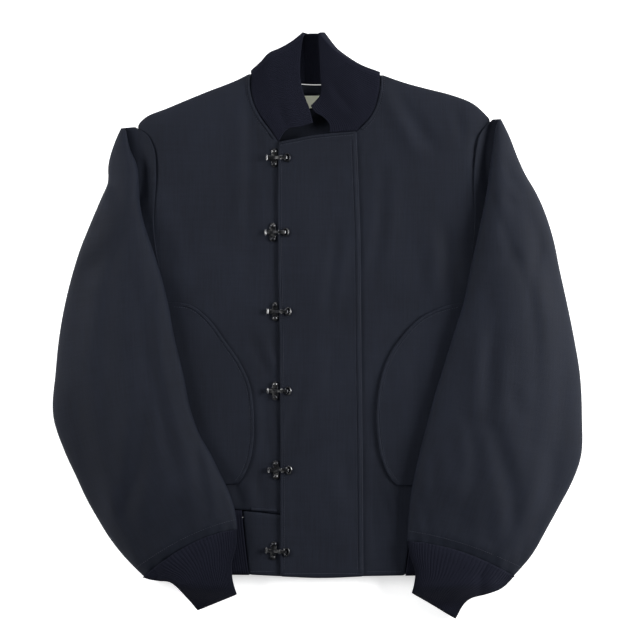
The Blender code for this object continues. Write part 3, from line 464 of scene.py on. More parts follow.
def shell(name, low, top, finish, cells=None, wrap=False, chart=None, rounding=1):
    """A thin closed cloth between two grids; cells picks which grid squares it has."""
    rows, columns = low.shape[:2]
    if cells is None:
        cells = np.ones((rows - 1, columns if wrap else columns - 1), bool)
    if chart is None:
        chart = top[..., :2]
    if not wrap:
        low, top = drawn_in(low, cells), drawn_in(top, cells)
    used = np.zeros((rows, columns), bool)
    i, j = np.nonzero(cells)
    k = (j + 1) % columns
    for a, b in ((i, j), (i, k), (i + 1, k), (i + 1, j)):
        used[a, b] = True
    number = np.full((rows, columns), -1)
    number[used] = np.arange(used.sum())
    half = int(used.sum())
    ring = np.stack([number[i, j], number[i, k], number[i + 1, k], number[i + 1, j]], axis=1)
    faces = [tuple(f) for f in (ring + half).tolist()] + [tuple(f) for f in ring[:, ::-1].tolist()]
    padded = np.pad(cells, 1)
    if wrap:
        padded[1:-1, 0], padded[1:-1, -1] = cells[:, -1], cells[:, 0]
    beyond = (padded[i, j + 1], padded[i + 1, j + 2], padded[i + 2, j + 1], padded[i + 1, j])
    for side, neighbour in enumerate(beyond):
        for a, b in ring[~neighbour][:, [side, (side + 1) % 4]].tolist():
            faces.append((a, b, b + half, a + half))
    points = np.vstack([low[used], top[used]])
    charts = np.vstack([chart[used], chart[used]])
    corners = points[np.array(faces[0])]
    if np.cross(corners[1] - corners[0], corners[2] - corners[0])[2] < 0 and not wrap:
        faces = [face[::-1] for face in faces]
    piece = sew(name, points, faces, finish, charts, rounding)
    return piece


def face_outward(piece):
    """Turns a closed piece's faces outward."""
    work = bmesh.new()
    work.from_mesh(piece.data)
    bmesh.ops.recalc_face_normals(work, faces=work.faces)
    work.to_mesh(piece.data)
    work.free()


def finer(grid, times):
    """A grid with its columns divided, on straight lines between the old ones."""
    share = np.linspace(0, grid.shape[1] - 1, (grid.shape[1] - 1) * times + 1)
    first = np.minimum(share.astype(int), grid.shape[1] - 2)
    part = (share - first)[None, :, None]
    return grid[:, first] * (1 - part) + grid[:, first + 1] * part


def rib_wave(length, sharpness=0.6):
    """Height of rounded knit ribs at each distance along a band."""
    return RIB_HEIGHT * np.abs(np.sin(math.pi * length / RIB_PITCH)) ** sharpness


# Materials
def new_material(name):
    """A node material and its shader, node tree and a helper that adds nodes."""
    made = bpy.data.materials.new(name)
    made.use_nodes = True
    tree = made.node_tree
    shader = tree.nodes["Principled BSDF"]

    def add(kind, **values):
        node = tree.nodes.new(kind)
        for key, value in values.items():
            if hasattr(node, key):
                setattr(node, key, value)
            else:
                node.inputs[key.replace("_", " ")].default_value = value
        return node

    return made, shader, tree.links.new, add


def scaled_place(add, link, source, scale):
    """Texture places stretched by a scale in each direction."""
    mapping = add("ShaderNodeMapping")
    mapping.inputs["Scale"].default_value = scale
    link(source, mapping.inputs["Vector"])
    return mapping.outputs["Vector"]


def mixed(add, link, factor, first, second):
    """A colour between two others, by a factor socket."""
    mix = add("ShaderNodeMix", data_type="RGBA")
    link(factor, mix.inputs["Factor"])
    mix.inputs["A"].default_value = (*first, 1)
    mix.inputs["B"].default_value = (*second, 1)
    return mix.outputs["Result"]


def bands(add, link, place, period, direction="X", distortion=0.0):
    """Wave bands of this period, in metres, on a chart in metres."""
    wave = add("ShaderNodeTexWave", wave_type="BANDS", bands_direction=direction, wave_profile="SIN")
    wave.inputs["Scale"].default_value = 2 * math.pi / (20 * period)
    wave.inputs["Distortion"].default_value = distortion
    wave.inputs["Detail"].default_value = 2.0
    wave.inputs["Detail Scale"].default_value = 0.6
    link(place, wave.inputs["Vector"])
    return wave.outputs["Fac"]


def weighed(add, link, *parts):
    """Sum of height sockets, each times its weight."""
    total = None
    for socket, weight in parts:
        scaled = add("ShaderNodeMath", operation="MULTIPLY")
        link(socket, scaled.inputs[0])
        scaled.inputs[1].default_value = weight
        if total is None:
            total = scaled.outputs[0]
            continue
        added = add("ShaderNodeMath", operation="ADD")
        link(total, added.inputs[0])
        link(scaled.outputs[0], added.inputs[1])
        total = added.outputs[0]
    return total


def woven_cloth(name, deep, pale, sheen):
    """Corded cotton: fine warp cords, crosswise threads, long slubs and faint wear."""
    made, shader, link, add = new_material(name)
    place = add("ShaderNodeTexCoord").outputs["UV"]
    body = add("ShaderNodeTexCoord").outputs["Object"]
    cords = bands(add, link, place, 0.0011, "X", 0.6)
    threads = bands(add, link, place, 0.0006, "Y", 0.4)
    slub = add("ShaderNodeTexNoise", Scale=1.0, Detail=3.0, Roughness=0.6)
    link(scaled_place(add, link, place, (420, 22, 1)), slub.inputs["Vector"])
    across = add("ShaderNodeTexNoise", Scale=1.0, Detail=2.0, Roughness=0.5)
    link(scaled_place(add, link, place, (18, 300, 1)), across.inputs["Vector"])
    patchy = add("ShaderNodeTexNoise", Scale=9.0, Detail=3.0, Roughness=0.55)
    link(body, patchy.inputs["Vector"])
    tone = weighed(add, link, (slub.outputs["Fac"], 0.55), (across.outputs["Fac"], 0.20),
                   (patchy.outputs["Fac"], 0.45), (cords, 0.10), (threads, 0.06))
    spread = add("ShaderNodeMapRange")
    spread.inputs["From Min"].default_value = 0.42
    spread.inputs["From Max"].default_value = 0.86
    link(tone, spread.inputs["Value"])
    link(mixed(add, link, spread.outputs["Result"], deep, pale), shader.inputs["Base Color"])
    rough = add("ShaderNodeMapRange")
    rough.inputs["To Min"].default_value = 0.62
    rough.inputs["To Max"].default_value = 0.78
    link(slub.outputs["Fac"], rough.inputs["Value"])
    link(rough.outputs["Result"], shader.inputs["Roughness"])
    shader.inputs["Specular IOR Level"].default_value = 0.12
    shader.inputs["Sheen Weight"].default_value = sheen
    shader.inputs["Sheen Roughness"].default_value = 0.35
    shader.inputs["Sheen Tint"].default_value = (0.45, 0.52, 0.75, 1)
    relief = weighed(add, link, (cords, 0.45), (threads, 0.25), (slub.outputs["Fac"], 0.7),
                     (across.outputs["Fac"], 0.35), (patchy.outputs["Fac"], 0.8))
    bump = add("ShaderNodeBump", Strength=0.45, Distance=0.0006)
    link(relief, bump.inputs["Height"])
    link(bump.outputs["Normal"], shader.inputs["Normal"])
    return made


def rib_knit(name, deep, pale):
    """Matte rib knit: rows of small loops over ribs that are in the mesh."""
    made, shader, link, add = new_material(name)
    place = add("ShaderNodeTexCoord").outputs["UV"]
    body = add("ShaderNodeTexCoord").outputs["Object"]
    loops = bands(add, link, place, 0.0014, "Y", 1.2)
    lines = bands(add, link, place, 0.00155, "X", 0.5)
    fuzz = add("ShaderNodeTexNoise", Scale=900.0, Detail=2.0, Roughness=0.6)
    link(body, fuzz.inputs["Vector"])
    patchy = add("ShaderNodeTexNoise", Scale=14.0, Detail=3.0, Roughness=0.5)
    link(body, patchy.inputs["Vector"])
    tone = weighed(add, link, (loops, 0.25), (lines, 0.2), (fuzz.outputs["Fac"], 0.25),
                   (patchy.outputs["Fac"], 0.45))
    link(mixed(add, link, tone, deep, pale), shader.inputs["Base Color"])
    shader.inputs["Roughness"].default_value = 0.92
    shader.inputs["Specular IOR Level"].default_value = 0.08
    shader.inputs["Sheen Weight"].default_value = 0.02
    shader.inputs["Sheen Roughness"].default_value = 0.6
    shader.inputs["Sheen Tint"].default_value = (0.5, 0.55, 0.75, 1)
    relief = weighed(add, link, (loops, 0.6), (lines, 0.4), (fuzz.outputs["Fac"], 0.7))
    bump = add("ShaderNodeBump", Strength=0.6, Distance=0.0006)
    link(relief, bump.inputs["Height"])
    link(bump.outputs["Normal"], shader.inputs["Normal"])
    return made


def label_weave(name):
    """Cream woven label with nothing on it."""
    made, shader, link, add = new_material(name)
    place = add("ShaderNodeTexCoord").outputs["UV"]
    weave = bands(add, link, place, 0.0005, "X", 0.2)
    rows = bands(add, link, place, 0.0004, "Y", 0.2)
    tone = weighed(add, link, (weave, 0.5), (rows, 0.5))
    link(mixed(add, link, tone, (0.62, 0.64, 0.50), (0.82, 0.84, 0.68)), shader.inputs["Base Color"])
    shader.inputs["Roughness"].default_value = 0.75
    bump = add("ShaderNodeBump", Strength=0.3, Distance=0.0003)
    link(tone, bump.inputs["Height"])
    link(bump.outputs["Normal"], shader.inputs["Normal"])
    return made


def thread(name, colour):
    """Sewing thread, slightly glossier than the cloth."""
    made, shader, link, add = new_material(name)
    body = add("ShaderNodeTexCoord").outputs["Object"]
    twist = add("ShaderNodeTexNoise", Scale=1500.0, Detail=1.0)
    link(body, twist.inputs["Vector"])
    lighter = tuple(min(1, c * 1.5) for c in colour)
    link(mixed(add, link, twist.outputs["Fac"], colour, lighter), shader.inputs["Base Color"])
    shader.inputs["Roughness"].default_value = 0.55
    return made


def dark_metal(name):
    """Blackened metal rubbed brighter in places."""
    made, shader, link, add = new_material(name)
    body = add("ShaderNodeTexCoord").outputs["Object"]
    wear = add("ShaderNodeTexNoise", Scale=160.0, Detail=4.0, Roughness=0.6)
    link(body, wear.inputs["Vector"])
    grain = add("ShaderNodeTexNoise", Scale=1400.0, Detail=2.0)
    link(body, grain.inputs["Vector"])
    share = add("ShaderNodeMapRange")
    share.inputs["From Min"].default_value = 0.48
    share.inputs["From Max"].default_value = 0.68
    link(wear.outputs["Fac"], share.inputs["Value"])
    link(mixed(add, link, share.outputs["Result"], (0.035, 0.036, 0.040), (0.20, 0.20, 0.20)),
         shader.inputs["Base Color"])
    rough = add("ShaderNodeMapRange")
    rough.inputs["To Min"].default_value = 0.22
    rough.inputs["To Max"].default_value = 0.42
    link(grain.outputs["Fac"], rough.inputs["Value"])
    link(rough.outputs["Result"], shader.inputs["Roughness"])
    shader.inputs["Metallic"].default_value = 1.0
    bump = add("ShaderNodeBump", Strength=0.12, Distance=0.0002)
    link(grain.outputs["Fac"], bump.inputs["Height"])
    link(bump.outputs["Normal"], shader.inputs["Normal"])
    return made


# Torso
def front_plan():
    """Plan grid of the whole front, from the right side seam to the left one."""
    right = spaced(RIGHT_SIDE, ROW_STEPS)
    edge = spaced(FLAP_EDGE, ROW_STEPS)
    seam = spaced(FLAP_SEAM, ROW_STEPS)
    left = spaced(LEFT_SIDE, ROW_STEPS)
    top_right = np.vstack([spaced(RIGHT_SHOULDER, 7 * FINER), spaced(RIGHT_NECK, 4 * FINER)[1:]])
    top_left = np.vstack([spaced(LEFT_NECK, 4 * FINER), spaced(LEFT_SHOULDER, 7 * FINER)[1:]])
    first = patch(straight(HEM_RIGHT, (8 * FINER, 3 * FINER)), top_right, right, edge)
    middle = patch(spaced(HEM_FLAP, 7 * FINER), spaced(FLAP_TOP, 7 * FINER), edge, seam)
    last = patch(straight(HEM_LEFT, (4 * FINER, 7 * FINER)), top_left, seam, left)
    first, middle, last = (evened(part, EVENING) for part in (first, middle, last))
    return np.hstack([first, middle[:, 1:], last[:, 1:]])


def build_fronts(cloth, knit):
    """Fronts, band, flap and front waist knit, all from one grid."""
    plan = front_plan()
    height = torso_top(plan[..., 0], plan[..., 1])
    top, low = raised(plan, height), raised(plan, height - PANEL)
    rows, columns = plan.shape[0] - 1, plan.shape[1] - 1
    row = np.arange(rows)[:, None] + np.zeros((rows, columns), int)
    column = np.arange(columns)[None, :] + np.zeros((rows, columns), int)
    meeting, band_start, knit_start = 15 * FINER, 8 * FINER, 22 * FINER
    pieces = {}
    for name, cells in (
        ("front_right", (column < meeting) & (row >= WAIST_STEP)),
        ("front_band_right", (column >= band_start) & (column < meeting) & (row < WAIST_STEP)),
        ("front_left", (column >= meeting) & ((column < knit_start) | (row >= WAIST_STEP))),
    ):
        pieces[name] = shell(f"{name}_cloth", low, top, cloth, cells)
        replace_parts(pieces[name], name)
    for name, first, last in (("waist_knit_right", 0, band_start), ("waist_knit_left", knit_start, columns)):
        part = slice(first, last + 1)
        lower = finer(low[:WAIST_STEP + 1, part], 6)
        upper = finer(top[:WAIST_STEP + 1, part], 6)
        reach = np.linalg.norm(np.diff(upper[..., :2], axis=1), axis=2).mean(axis=0)
        length = np.concatenate([[0], np.cumsum(reach)])
        upper[..., 2] += rib_wave(length)[None, :] - RIB_HEIGHT
        chart = np.dstack([np.broadcast_to(length, upper.shape[:2]), upper[..., 1]])
        pieces[name] = shell(f"{name}_ribs", lower, upper, knit, chart=chart, rounding=0)
        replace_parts(pieces[name], name)
    lift = raised(np.zeros(plan.shape), LAY_GAP)
    thick = raised(np.zeros(plan.shape), LAY_GAP + PANEL - 0.5)
    flap = (column >= 11 * FINER) & (column < 18 * FINER)
    pieces["front_flap"] = shell("front_flap_cloth", top + lift, top + thick, cloth, flap)
    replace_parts(pieces["front_flap"], "front_flap")
    return pieces


def build_back(cloth, knit):
    """The back and its knit band, flat underneath; the inside shows through the neck."""
    steps = 16 * FINER
    left, right = spaced(RIGHT_SIDE, steps), spaced(LEFT_SIDE, steps)
    hem = straight(((-208, -323), (0, -328), (211, -323)), (9 * FINER, 9 * FINER))
    top = np.vstack([spaced(RIGHT_SHOULDER, 6 * FINER), spaced(BACK_NECK, 6 * FINER)[1:],
                     spaced(LEFT_SHOULDER, 6 * FINER)[1:]])
    plan = patch(hem, top, left, right)
    bottom = BACK_EDGE_LIFT * np.exp(-np.maximum(edge_distance(plan[..., 0], plan[..., 1]), 0) / 5)
    row = np.arange(steps)[:, None] + np.zeros((steps, 18 * FINER), int)
    pieces = {}
    for name, cells, finish, slot in (("back", row >= 2 * FINER, cloth, "shell_cloth"),
                                      ("waist_knit_back", row < 2 * FINER, knit, "rib_knit")):
        pieces[name] = shell(f"{name}_cloth", raised(plan, bottom), raised(plan, bottom + PANEL),
                             finish, cells)
        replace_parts(pieces[name], name)
    return pieces


def build_pocket(name, mouth, cloth):
    """Half-moon pocket: its curved mouth is free, its back edge runs towards the side seam."""
    curve = spaced(mouth, 56)
    side = RIGHT_SIDE if mouth[0][0] < 0 else LEFT_SIDE
    seam = spaced(side, 80)[:50]
    far = np.interp(curve[:, 1], seam[:, 1], seam[:, 0]) * POCKET_BACK
    shares = np.linspace(0, 1, 25)[None, :, None]
    edge = np.stack([far, curve[:, 1]], axis=1)
    plan = curve[:, None] * (1 - shares) + edge[:, None] * shares
    height = torso_top(plan[..., 0], plan[..., 1]) + LAY_GAP + 0.2
    piece = shell(f"{name}_cloth", raised(plan, height), raised(plan, height + POCKET_CLOTH),
                  cloth)
    face_outward(piece)
    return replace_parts(piece, name)


def build_neck_inside(facing_cloth, label_cloth):
    """The facing strip under the back neck and the bare label sewn below it."""
    upper = spaced(((-50, 318.2), (-4, 313.4), (43, 317.3)), 30)
    share = np.linspace(0, 1, 6)[:, None, None]
    plan = upper[None] + (1 - share) * np.array([0, -FACING_DEPTH])
    crown = 0.7 * np.sin(math.pi * share[..., 0]) * np.ones(plan.shape[:2])
    base = PANEL + LAY_GAP
    facing = shell("neck_facing_strip", raised(plan, base), raised(plan, base + 0.7 + crown), facing_cloth)
    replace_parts(facing, "neck_facing")
    corners = [np.array(p, float) for p in ((-38, 284), (24, 285), (-39, 301), (23, 302))]
    u, v = np.linspace(0, 1, 21)[None, :, None], np.linspace(0, 1, 13)[:, None, None]
    plan = (1 - v) * ((1 - u) * corners[0] + u * corners[1]) + v * ((1 - u) * corners[2] + u * corners[3])
    waves = 0.25 * np.sin(plan[..., 0] / 6) * np.sin(plan[..., 1] / 9)
    label = shell("bare_label", raised(plan, base), raised(plan, base + 0.8 + waves),
                  label_cloth)
    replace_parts(label, "label")
    return facing, label


# Sleeves and cuffs
def ring_normals(grid):
    """Outward unit normals of a grid whose rows are closed rings."""
    around = np.roll(grid, -1, axis=1) - np.roll(grid, 1, axis=1)
    onward = np.gradient(grid, axis=0)
    normal = np.cross(onward, around)
    centre = grid.mean(axis=1, keepdims=True)
    sense = np.sign(((grid - centre) * normal).sum(axis=2).mean())
    normal *= sense
    return normal / np.maximum(np.linalg.norm(normal, axis=2, keepdims=True), 1e-9)


def sleeve_grid(table, creases, rows=78, half=30):
    """Outer surface of a laid sleeve: rings from the shoulder to the cuff seam, and its cloth chart."""
    inner = spaced(table["inner"], rows)[:, None]
    outer = spaced(table["outer"], rows)[:, None]
    angle = np.linspace(0, 2 * math.pi, 2 * half, endpoint=False)
    share = ((1 - np.cos(angle)) / 2)[None, :, None]
    lift = np.sin(angle)[None, :]
    station = np.linspace(0, 1, rows + 1)
    bow = table["bow"] * 4 * share * (1 - share) * (station ** 8)[:, None, None] * np.array([0, 1])
    plan = inner + (outer - inner) * share + bow
    width = np.linalg.norm(outer - inner, axis=2)
    over_strip = 0.9 * (CLOTH + LAY_GAP) * ease((plan[:, :1, 1] - 85) / 30)
    x, y = plan[..., 0], plan[..., 1]
    middle = sleeve_rest(x, y) + CLOTH + LAY_GAP + over_strip
    first, last = middle[:, :1], middle[:, half:half + 1]
    level = first * (1 - share[..., 0]) + last * share[..., 0]
    fall = 0.34 * ease((station[:, None] - 0.84) / 0.14) + 0.22 * ease((station[:, None] - 0.965) / 0.035)
    loft = np.minimum(SLEEVE_LOFT, 0.36 * width) * (1 - fall)
    rolled = CLOTH * np.abs(lift) ** 0.5
    dome = np.abs(lift) ** 0.8
    fade = ease((1 - station[:, None]) / 0.05)
    gathers = 1.3 * np.sin(share[..., 0] * width / 2.9 + 2 * np.sin(station[:, None] * 9)) * np.exp(
        -((1 - station[:, None]) / 0.055))
    small = (creased(x, y, creases) + rippled(x + 40, y - 25, 0.9)) * fade + gathers
    upper = 0.6 * middle + 0.4 * level + rolled + loft * dome + small * np.minimum(1, 1.4 * dome)
    lower = middle - rolled
    height = np.where(lift >= 0, upper, lower)
    length = np.linalg.norm(np.diff(np.array(table["outer"], float), axis=0), axis=1).sum()
    onward = np.broadcast_to(station[:, None] * length, height.shape)
    chart = np.dstack([(share[..., 0] - 0.5) * width, onward])
    return raised(plan, height), chart


def build_sleeve(side, table, creases, cloth):
    """A sleeve as one tube of cloth, and the strip of it that runs up to the armhole seam."""
    grid, chart = sleeve_grid(table, creases)
    inside = grid - ring_normals(grid) * 1.4
    tube = shell(f"sleeve_{side}_cloth", inside, grid, cloth, wrap=True, chart=chart)
    face_outward(tube)
    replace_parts(tube, f"sleeve_{side}_top", f"sleeve_{side}_under")
    steps = 48
    hole = spaced(table["armhole"], steps)[:, None]
    reach = spaced([p for p in table["inner"] if p[1] >= table["armhole"][-1][1]], steps)[:, None]
    direction = 1 if side == "left" else -1
    reach = reach + np.array([9.0 * direction, 0])
    reach[0] = table["outer"][0]
    share = np.linspace(0, 1, 11)[None, :, None]
    plan = hole + (reach - hole) * share
    rest = sleeve_rest(plan[..., 0], plan[..., 1])
    gathers = puckered(plan[..., 0], plan[..., 1], table["armhole"], 0.5, 9, 9)
    dip = -0.8 * np.sin(math.pi * share[..., 0]) + gathers
    top = raised(plan, rest + 1.7 + dip)
    strip = shell(f"sleeve_{side}_armhole_strip", raised(plan, rest + 0.1), top, cloth)
    face_outward(strip)
    return tube, strip, grid


def build_cuff(name, table, knit):
    """Flattened ribbed tube from the sleeve seam to the wrist edge."""
    table = np.array(table, float)
    ribs, per_rib, rows = 78, 6, 26
    count = ribs * per_rib
    station = np.linspace(-0.04, 1, rows + 1)
    angle = np.linspace(0, 2 * math.pi, count, endpoint=False)
    pinch = np.exp(-np.maximum(station, 0) / 0.07)
    columns = [along(np.stack([table[:, 0] * 100, table[:, k]], axis=1), station)[:, 1] for k in range(1, 6)]
    inner = np.stack(columns[0:2], axis=1)[:, None]
    outer = np.stack(columns[2:4], axis=1)[:, None]
    towards = (outer - inner) / np.linalg.norm(outer - inner, axis=2, keepdims=True)
    wave = RIB_HEIGHT * np.abs(np.sin(math.pi * np.arange(count) / per_rib)) ** 0.6
    rings = []
    for inset in (0.0, KNIT):
        drawn = inset + 1.2 * pinch[:, None, None]
        a, b = inner + towards * drawn, outer - towards * drawn
        share = ((1 - np.cos(angle)) / 2)[None, :, None]
        plan = a + (b - a) * share
        plan = plan + columns[4][:, None, None] * 4 * share * (1 - share) * np.array([0, 1])
        half = (CUFF_HEIGHT / 2) * (1 - 0.16 * pinch[:, None]) - inset
        lift = np.sin(angle)[None, :]
        soft = rippled(plan[..., 0] * 1.7, plan[..., 1] * 1.7, 0.7) * np.abs(lift)
        upper = half * np.abs(lift) ** 0.7 + (wave[None] - RIB_HEIGHT + soft if inset == 0 else 0)
        lower = -half * np.abs(lift) ** 0.35
        height = sleeve_rest(plan[..., 0], plan[..., 1]) + CUFF_HEIGHT / 2 + np.where(lift >= 0, upper, lower)
        rings.append(raised(plan, height))
    around = np.linalg.norm(np.roll(rings[0], -1, axis=1) - rings[0], axis=2).mean(axis=0)
    length = np.cumsum(around)
    chart = np.dstack([np.broadcast_to(length, rings[0].shape[:2]),
                       np.broadcast_to(station[:, None] * 65, rings[0].shape[:2])])
    piece = shell(f"{name}_ribs", rings[1], rings[0], knit, wrap=True, chart=chart, rounding=0)
    face_outward(piece)
    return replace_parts(piece, name)


# Collar
COLLAR_CREASES = (
    (((16, 320), (30, 300), (46, 280)), -1.6, 6),
    (((36, 334), (50, 312), (58, 292)), 0.9, 7),
    (((-50, 292), (-46, 272), (-38, 256)), -1.8, 6),
    (((-36, 330), (-40, 300), (-34, 275)), 0.8, 9),
)


def build_collar(knit):
    """One knit band: a half over each side, folded at the slanting edges round to the back."""
    rows, right_count, back_count, left_count = 22, 220, 120, 200

    def half(table, seam, count):
        base, upper = on_chords(seam, count), spaced(table["upper"], count)
        inward = np.array(NECK_CENTRE) - base
        base += COLLAR_SEAM_GAP * inward / np.linalg.norm(inward, axis=1, keepdims=True)
        end, fold = spaced(table["end"], rows), spaced(table["fold"], rows)
        end[0], fold[0], upper[-1] = base[0], base[-1], fold[-1]
        return patch(base, upper, end, fold)

    flap_top = spaced(FLAP_TOP, 7 * FINER)
    start = (COLLAR_LEFT_START, np.interp(COLLAR_LEFT_START, flap_top[:, 0], flap_top[:, 1]))
    over_flap = flap_top[flap_top[:, 0] > COLLAR_LEFT_START]
    seam_left = np.vstack([[start], over_flap, spaced(LEFT_NECK, 4 * FINER)[1:]])
    right = half(COLLAR_RIGHT, spaced(RIGHT_NECK, 4 * FINER)[::-1], right_count)
    left = half(COLLAR_LEFT, seam_left, left_count)
    neck = spaced(BACK_NECK, back_count) + np.array([0, COLLAR_BACK_GAP])
    neck[0], neck[-1] = right[0, -1], left[0, -1]
    crest = np.linspace(right[-1, -1], left[-1, -1], back_count + 1)
    back = patch(neck, crest, right[:, -1], left[:, -1])
    plan = np.hstack([right, back[:, 1:], left[:, -2::-1]])
    column = np.arange(plan.shape[1])
    turns = (right_count, right_count + back_count)
    on_back = (column > turns[0]) & (column < turns[1])
    centre, reach = (COLLAR_HIGH + COLLAR_LOW) / 2, (COLLAR_HIGH - COLLAR_LOW) / 2
    from_fold = np.minimum(*[np.linalg.norm(plan - plan[:, turn][:, None], axis=2) for turn in turns])
    swing = np.sqrt(1 - (1 - np.clip(from_fold / reach, 0, 1)) ** 2)
    height = centre + reach * swing * np.where(on_back, -1, 1)
    small = creased(plan[..., 0], plan[..., 1], COLLAR_CREASES) + rippled(plan[..., 0], plan[..., 1], 0.5)
    height = height + np.where(on_back, 0, small * swing)
    middle = raised(plan, height)
    outward = np.cross(np.gradient(middle, axis=1), np.gradient(middle, axis=0))
    outward /= np.maximum(np.linalg.norm(outward, axis=2, keepdims=True), 1e-9)
    outward *= np.sign(outward[rows // 2, right_count // 2, 2])
    per_rib = 5
    wave = RIB_HEIGHT * np.abs(np.sin(math.pi * column / per_rib)) ** 0.6
    half_wall = KNIT / 2 + 0.25
    inside = middle - outward * (half_wall - 0.3 + (wave * on_back * 0.5)[None, :, None])
    outside = middle + outward * (half_wall - 0.3 + (wave * ~on_back)[None, :, None])
    inside[..., 2] = np.maximum(inside[..., 2], 0.1)
    outside[..., 2] = np.maximum(outside[..., 2], 0.0)
    chart = np.dstack([np.broadcast_to(column * RIB_PITCH / per_rib, plan.shape[:2]),
                       np.broadcast_to(np.linspace(0, 68, rows + 1)[:, None], plan.shape[:2])])
    piece = shell("collar_ribs", inside, outside, knit, chart=chart, rounding=0)
    face_outward(piece)
    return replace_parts(piece, "collar")


# Clips
def prism(outline, low, high, axis):
    """Points and faces of an outline pushed along z or y."""
    count = len(outline)
    points = [((a, b, level) if axis == "z" else (a, level, b)) for level in (low, high) for a, b in outline]
    faces = [(k, (k + 1) % count, count + (k + 1) % count, count + k) for k in range(count)]
    return points, faces + [tuple(reversed(range(count))), tuple(range(count, 2 * count))]


def turned(profile, x, y, steps=28):
    """A small turned form about an upright axis: points and faces, closed at both ends."""
    points, faces = [], []
    for radius, z in profile:
        points += [(x + radius * math.cos(a), y + radius * math.sin(a), z)
                   for a in np.linspace(0, 2 * math.pi, steps, endpoint=False)]
    for ring in range(len(profile) - 1):
        for k in range(steps):
            a, b = ring * steps + k, ring * steps + (k + 1) % steps
            faces.append((a, b, b + steps, a + steps))
    last = (len(profile) - 1) * steps
    return points, faces + [tuple(reversed(range(steps))), tuple(range(last, last + steps))]


def joined(*parts):
    """Points and faces of several closed forms as one list."""
    points, faces = [], []
    for more, sides in parts:
        faces += [tuple(k + len(points) for k in side) for side in sides]
        points += list(more)
    return points, faces


def placed(points, x, y, z, turn):
    """Points turned about z and moved to their place."""
    c, s = math.cos(math.radians(turn)), math.sin(math.radians(turn))
    return [(x + c * px - s * py, y + s * px + c * py, z + pz) for px, py, pz in points]


def rounded_end(x, y, radius, start, stop, steps=11):
    """Points on an arc, angles in degrees."""
    return [(x + radius * math.cos(math.radians(a)), y + radius * math.sin(math.radians(a)))
            for a in np.linspace(start, stop, steps)]


def metal_piece(name, form, seat, finish, bevel=0.0):
    """One metal piece of a clip, with its edges eased."""
    points, faces = form
    piece = sew(name, placed(points, *seat), faces, finish, rounding=0)
    face_outward(piece)
    if bevel:
        eased = piece.modifiers.new("eased_edges", "BEVEL")
        eased.width = bevel * 0.001
        eased.segments = 2
        eased.limit_method = "ANGLE"
        eased.angle_limit = math.radians(40)
    piece.data.set_sharp_from_angle(angle=math.radians(50))
    return piece


def plate_form():
    """Cross-shaped plate with a domed rivet and its washer at each end of the upright arm."""
    ear, reach, arm = 3.6, 8.5, 3.0
    outline = (rounded_end(0, reach, ear, 0, 180) + [(-ear, arm), (-11, arm), (-11, -arm), (-ear, -arm)]
               + rounded_end(0, -reach, ear, 180, 360) + [(ear, -arm), (ear, arm)])
    dome = ((2.7, 1.0), (2.7, 1.5), (2.45, 2.0), (1.9, 2.45), (1.1, 2.7), (0.3, 2.78))
    rim = ((3.1, 1.0), (3.1, 1.35), (2.9, 1.45), (0.5, 1.45))
    rivets = [turned(profile, 0, reach * side) for side in (-1, 1) for profile in (dome, rim)]
    return joined(prism(outline, 0, 1.2, "z"), *rivets)


def hook_form():
    """Lever with a rolled bar, a flat arm with a raised rib, and a hooked tip inside the ring."""
    arm = ((-9.4, 0.3), (-8.0, 0.2), (-2, 0.2), (2.0, 1.1), (6.0, 2.2), (9.5, 3.05), (12.4, 3.15),
           (15.1, 3.1), (15.2, 1.0), (15.8, 0.7), (16.4, 1.0), (16.6, 3.6), (16.3, 4.2), (15.5, 4.6),
           (12.4, 4.85), (9.0, 4.8), (5.0, 4.0), (1.0, 2.7), (-2.6, 1.7), (-8.0, 1.7), (-9.4, 1.9))
    bar = [(-9.9 + 1.25 * math.cos(a), 1.1 + 1.25 * math.sin(a))
           for a in np.linspace(0, 2 * math.pi, 20, endpoint=False)]
    shoulder = ((6.6, 2.4), (9.4, 3.1), (9.4, 5.3), (8.6, 5.6), (7.4, 5.4), (6.6, 4.6))
    return joined(prism(arm, -2.0, 2.0, "y"), prism(bar, -3.7, 3.7, "y"), prism(shoulder, -2.9, -1.2, "y"),
                  prism(shoulder, 1.2, 2.9, "y"))


def ring_form():
    """Oval wire ring that the hook holds."""
    wire, wide, tall, steps, sides = 1.05, 3.3, 4.8, 44, 14
    points, faces = [], []
    for k in range(steps):
        a = 2 * math.pi * k / steps
        ahead = math.atan2(wide * math.sin(a), tall * math.cos(a))
        for m in range(sides):
            b = 2 * math.pi * m / sides
            out = wire * math.cos(b)
            points.append((RING_AHEAD + wide * math.cos(a) + out * math.cos(ahead),
                           tall * math.sin(a) + out * math.sin(ahead), wire + wire * math.sin(b)))
            after, beside = (k + 1) % steps, (m + 1) % sides
            faces.append((k * sides + m, after * sides + m, after * sides + beside, k * sides + beside))
    return points, faces


def build_clips(metal):
    """Six clips: each fine piece sits on its own solid's lowest face."""
    for k, (x, y, turn) in enumerate(zip(CLIP_X, CLIP_Y, CLIP_TURN), start=1):
        for part, form, bevel, shift, drop in (("plate", plate_form(), 0.25, -0.5, 0.0),
                                               ("hook", hook_form(), 0.3, 0.0, 0.1),
                                               ("ring", ring_form(), 0.0, 0.0, 0.0)):
            node = f"clip_{k}_{part}"
            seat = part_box(node)[0][2] * 1000 + drop
            piece = metal_piece(f"{node}_metal", form, (x + shift, y, seat, turn), metal, bevel)
            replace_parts(piece, node)


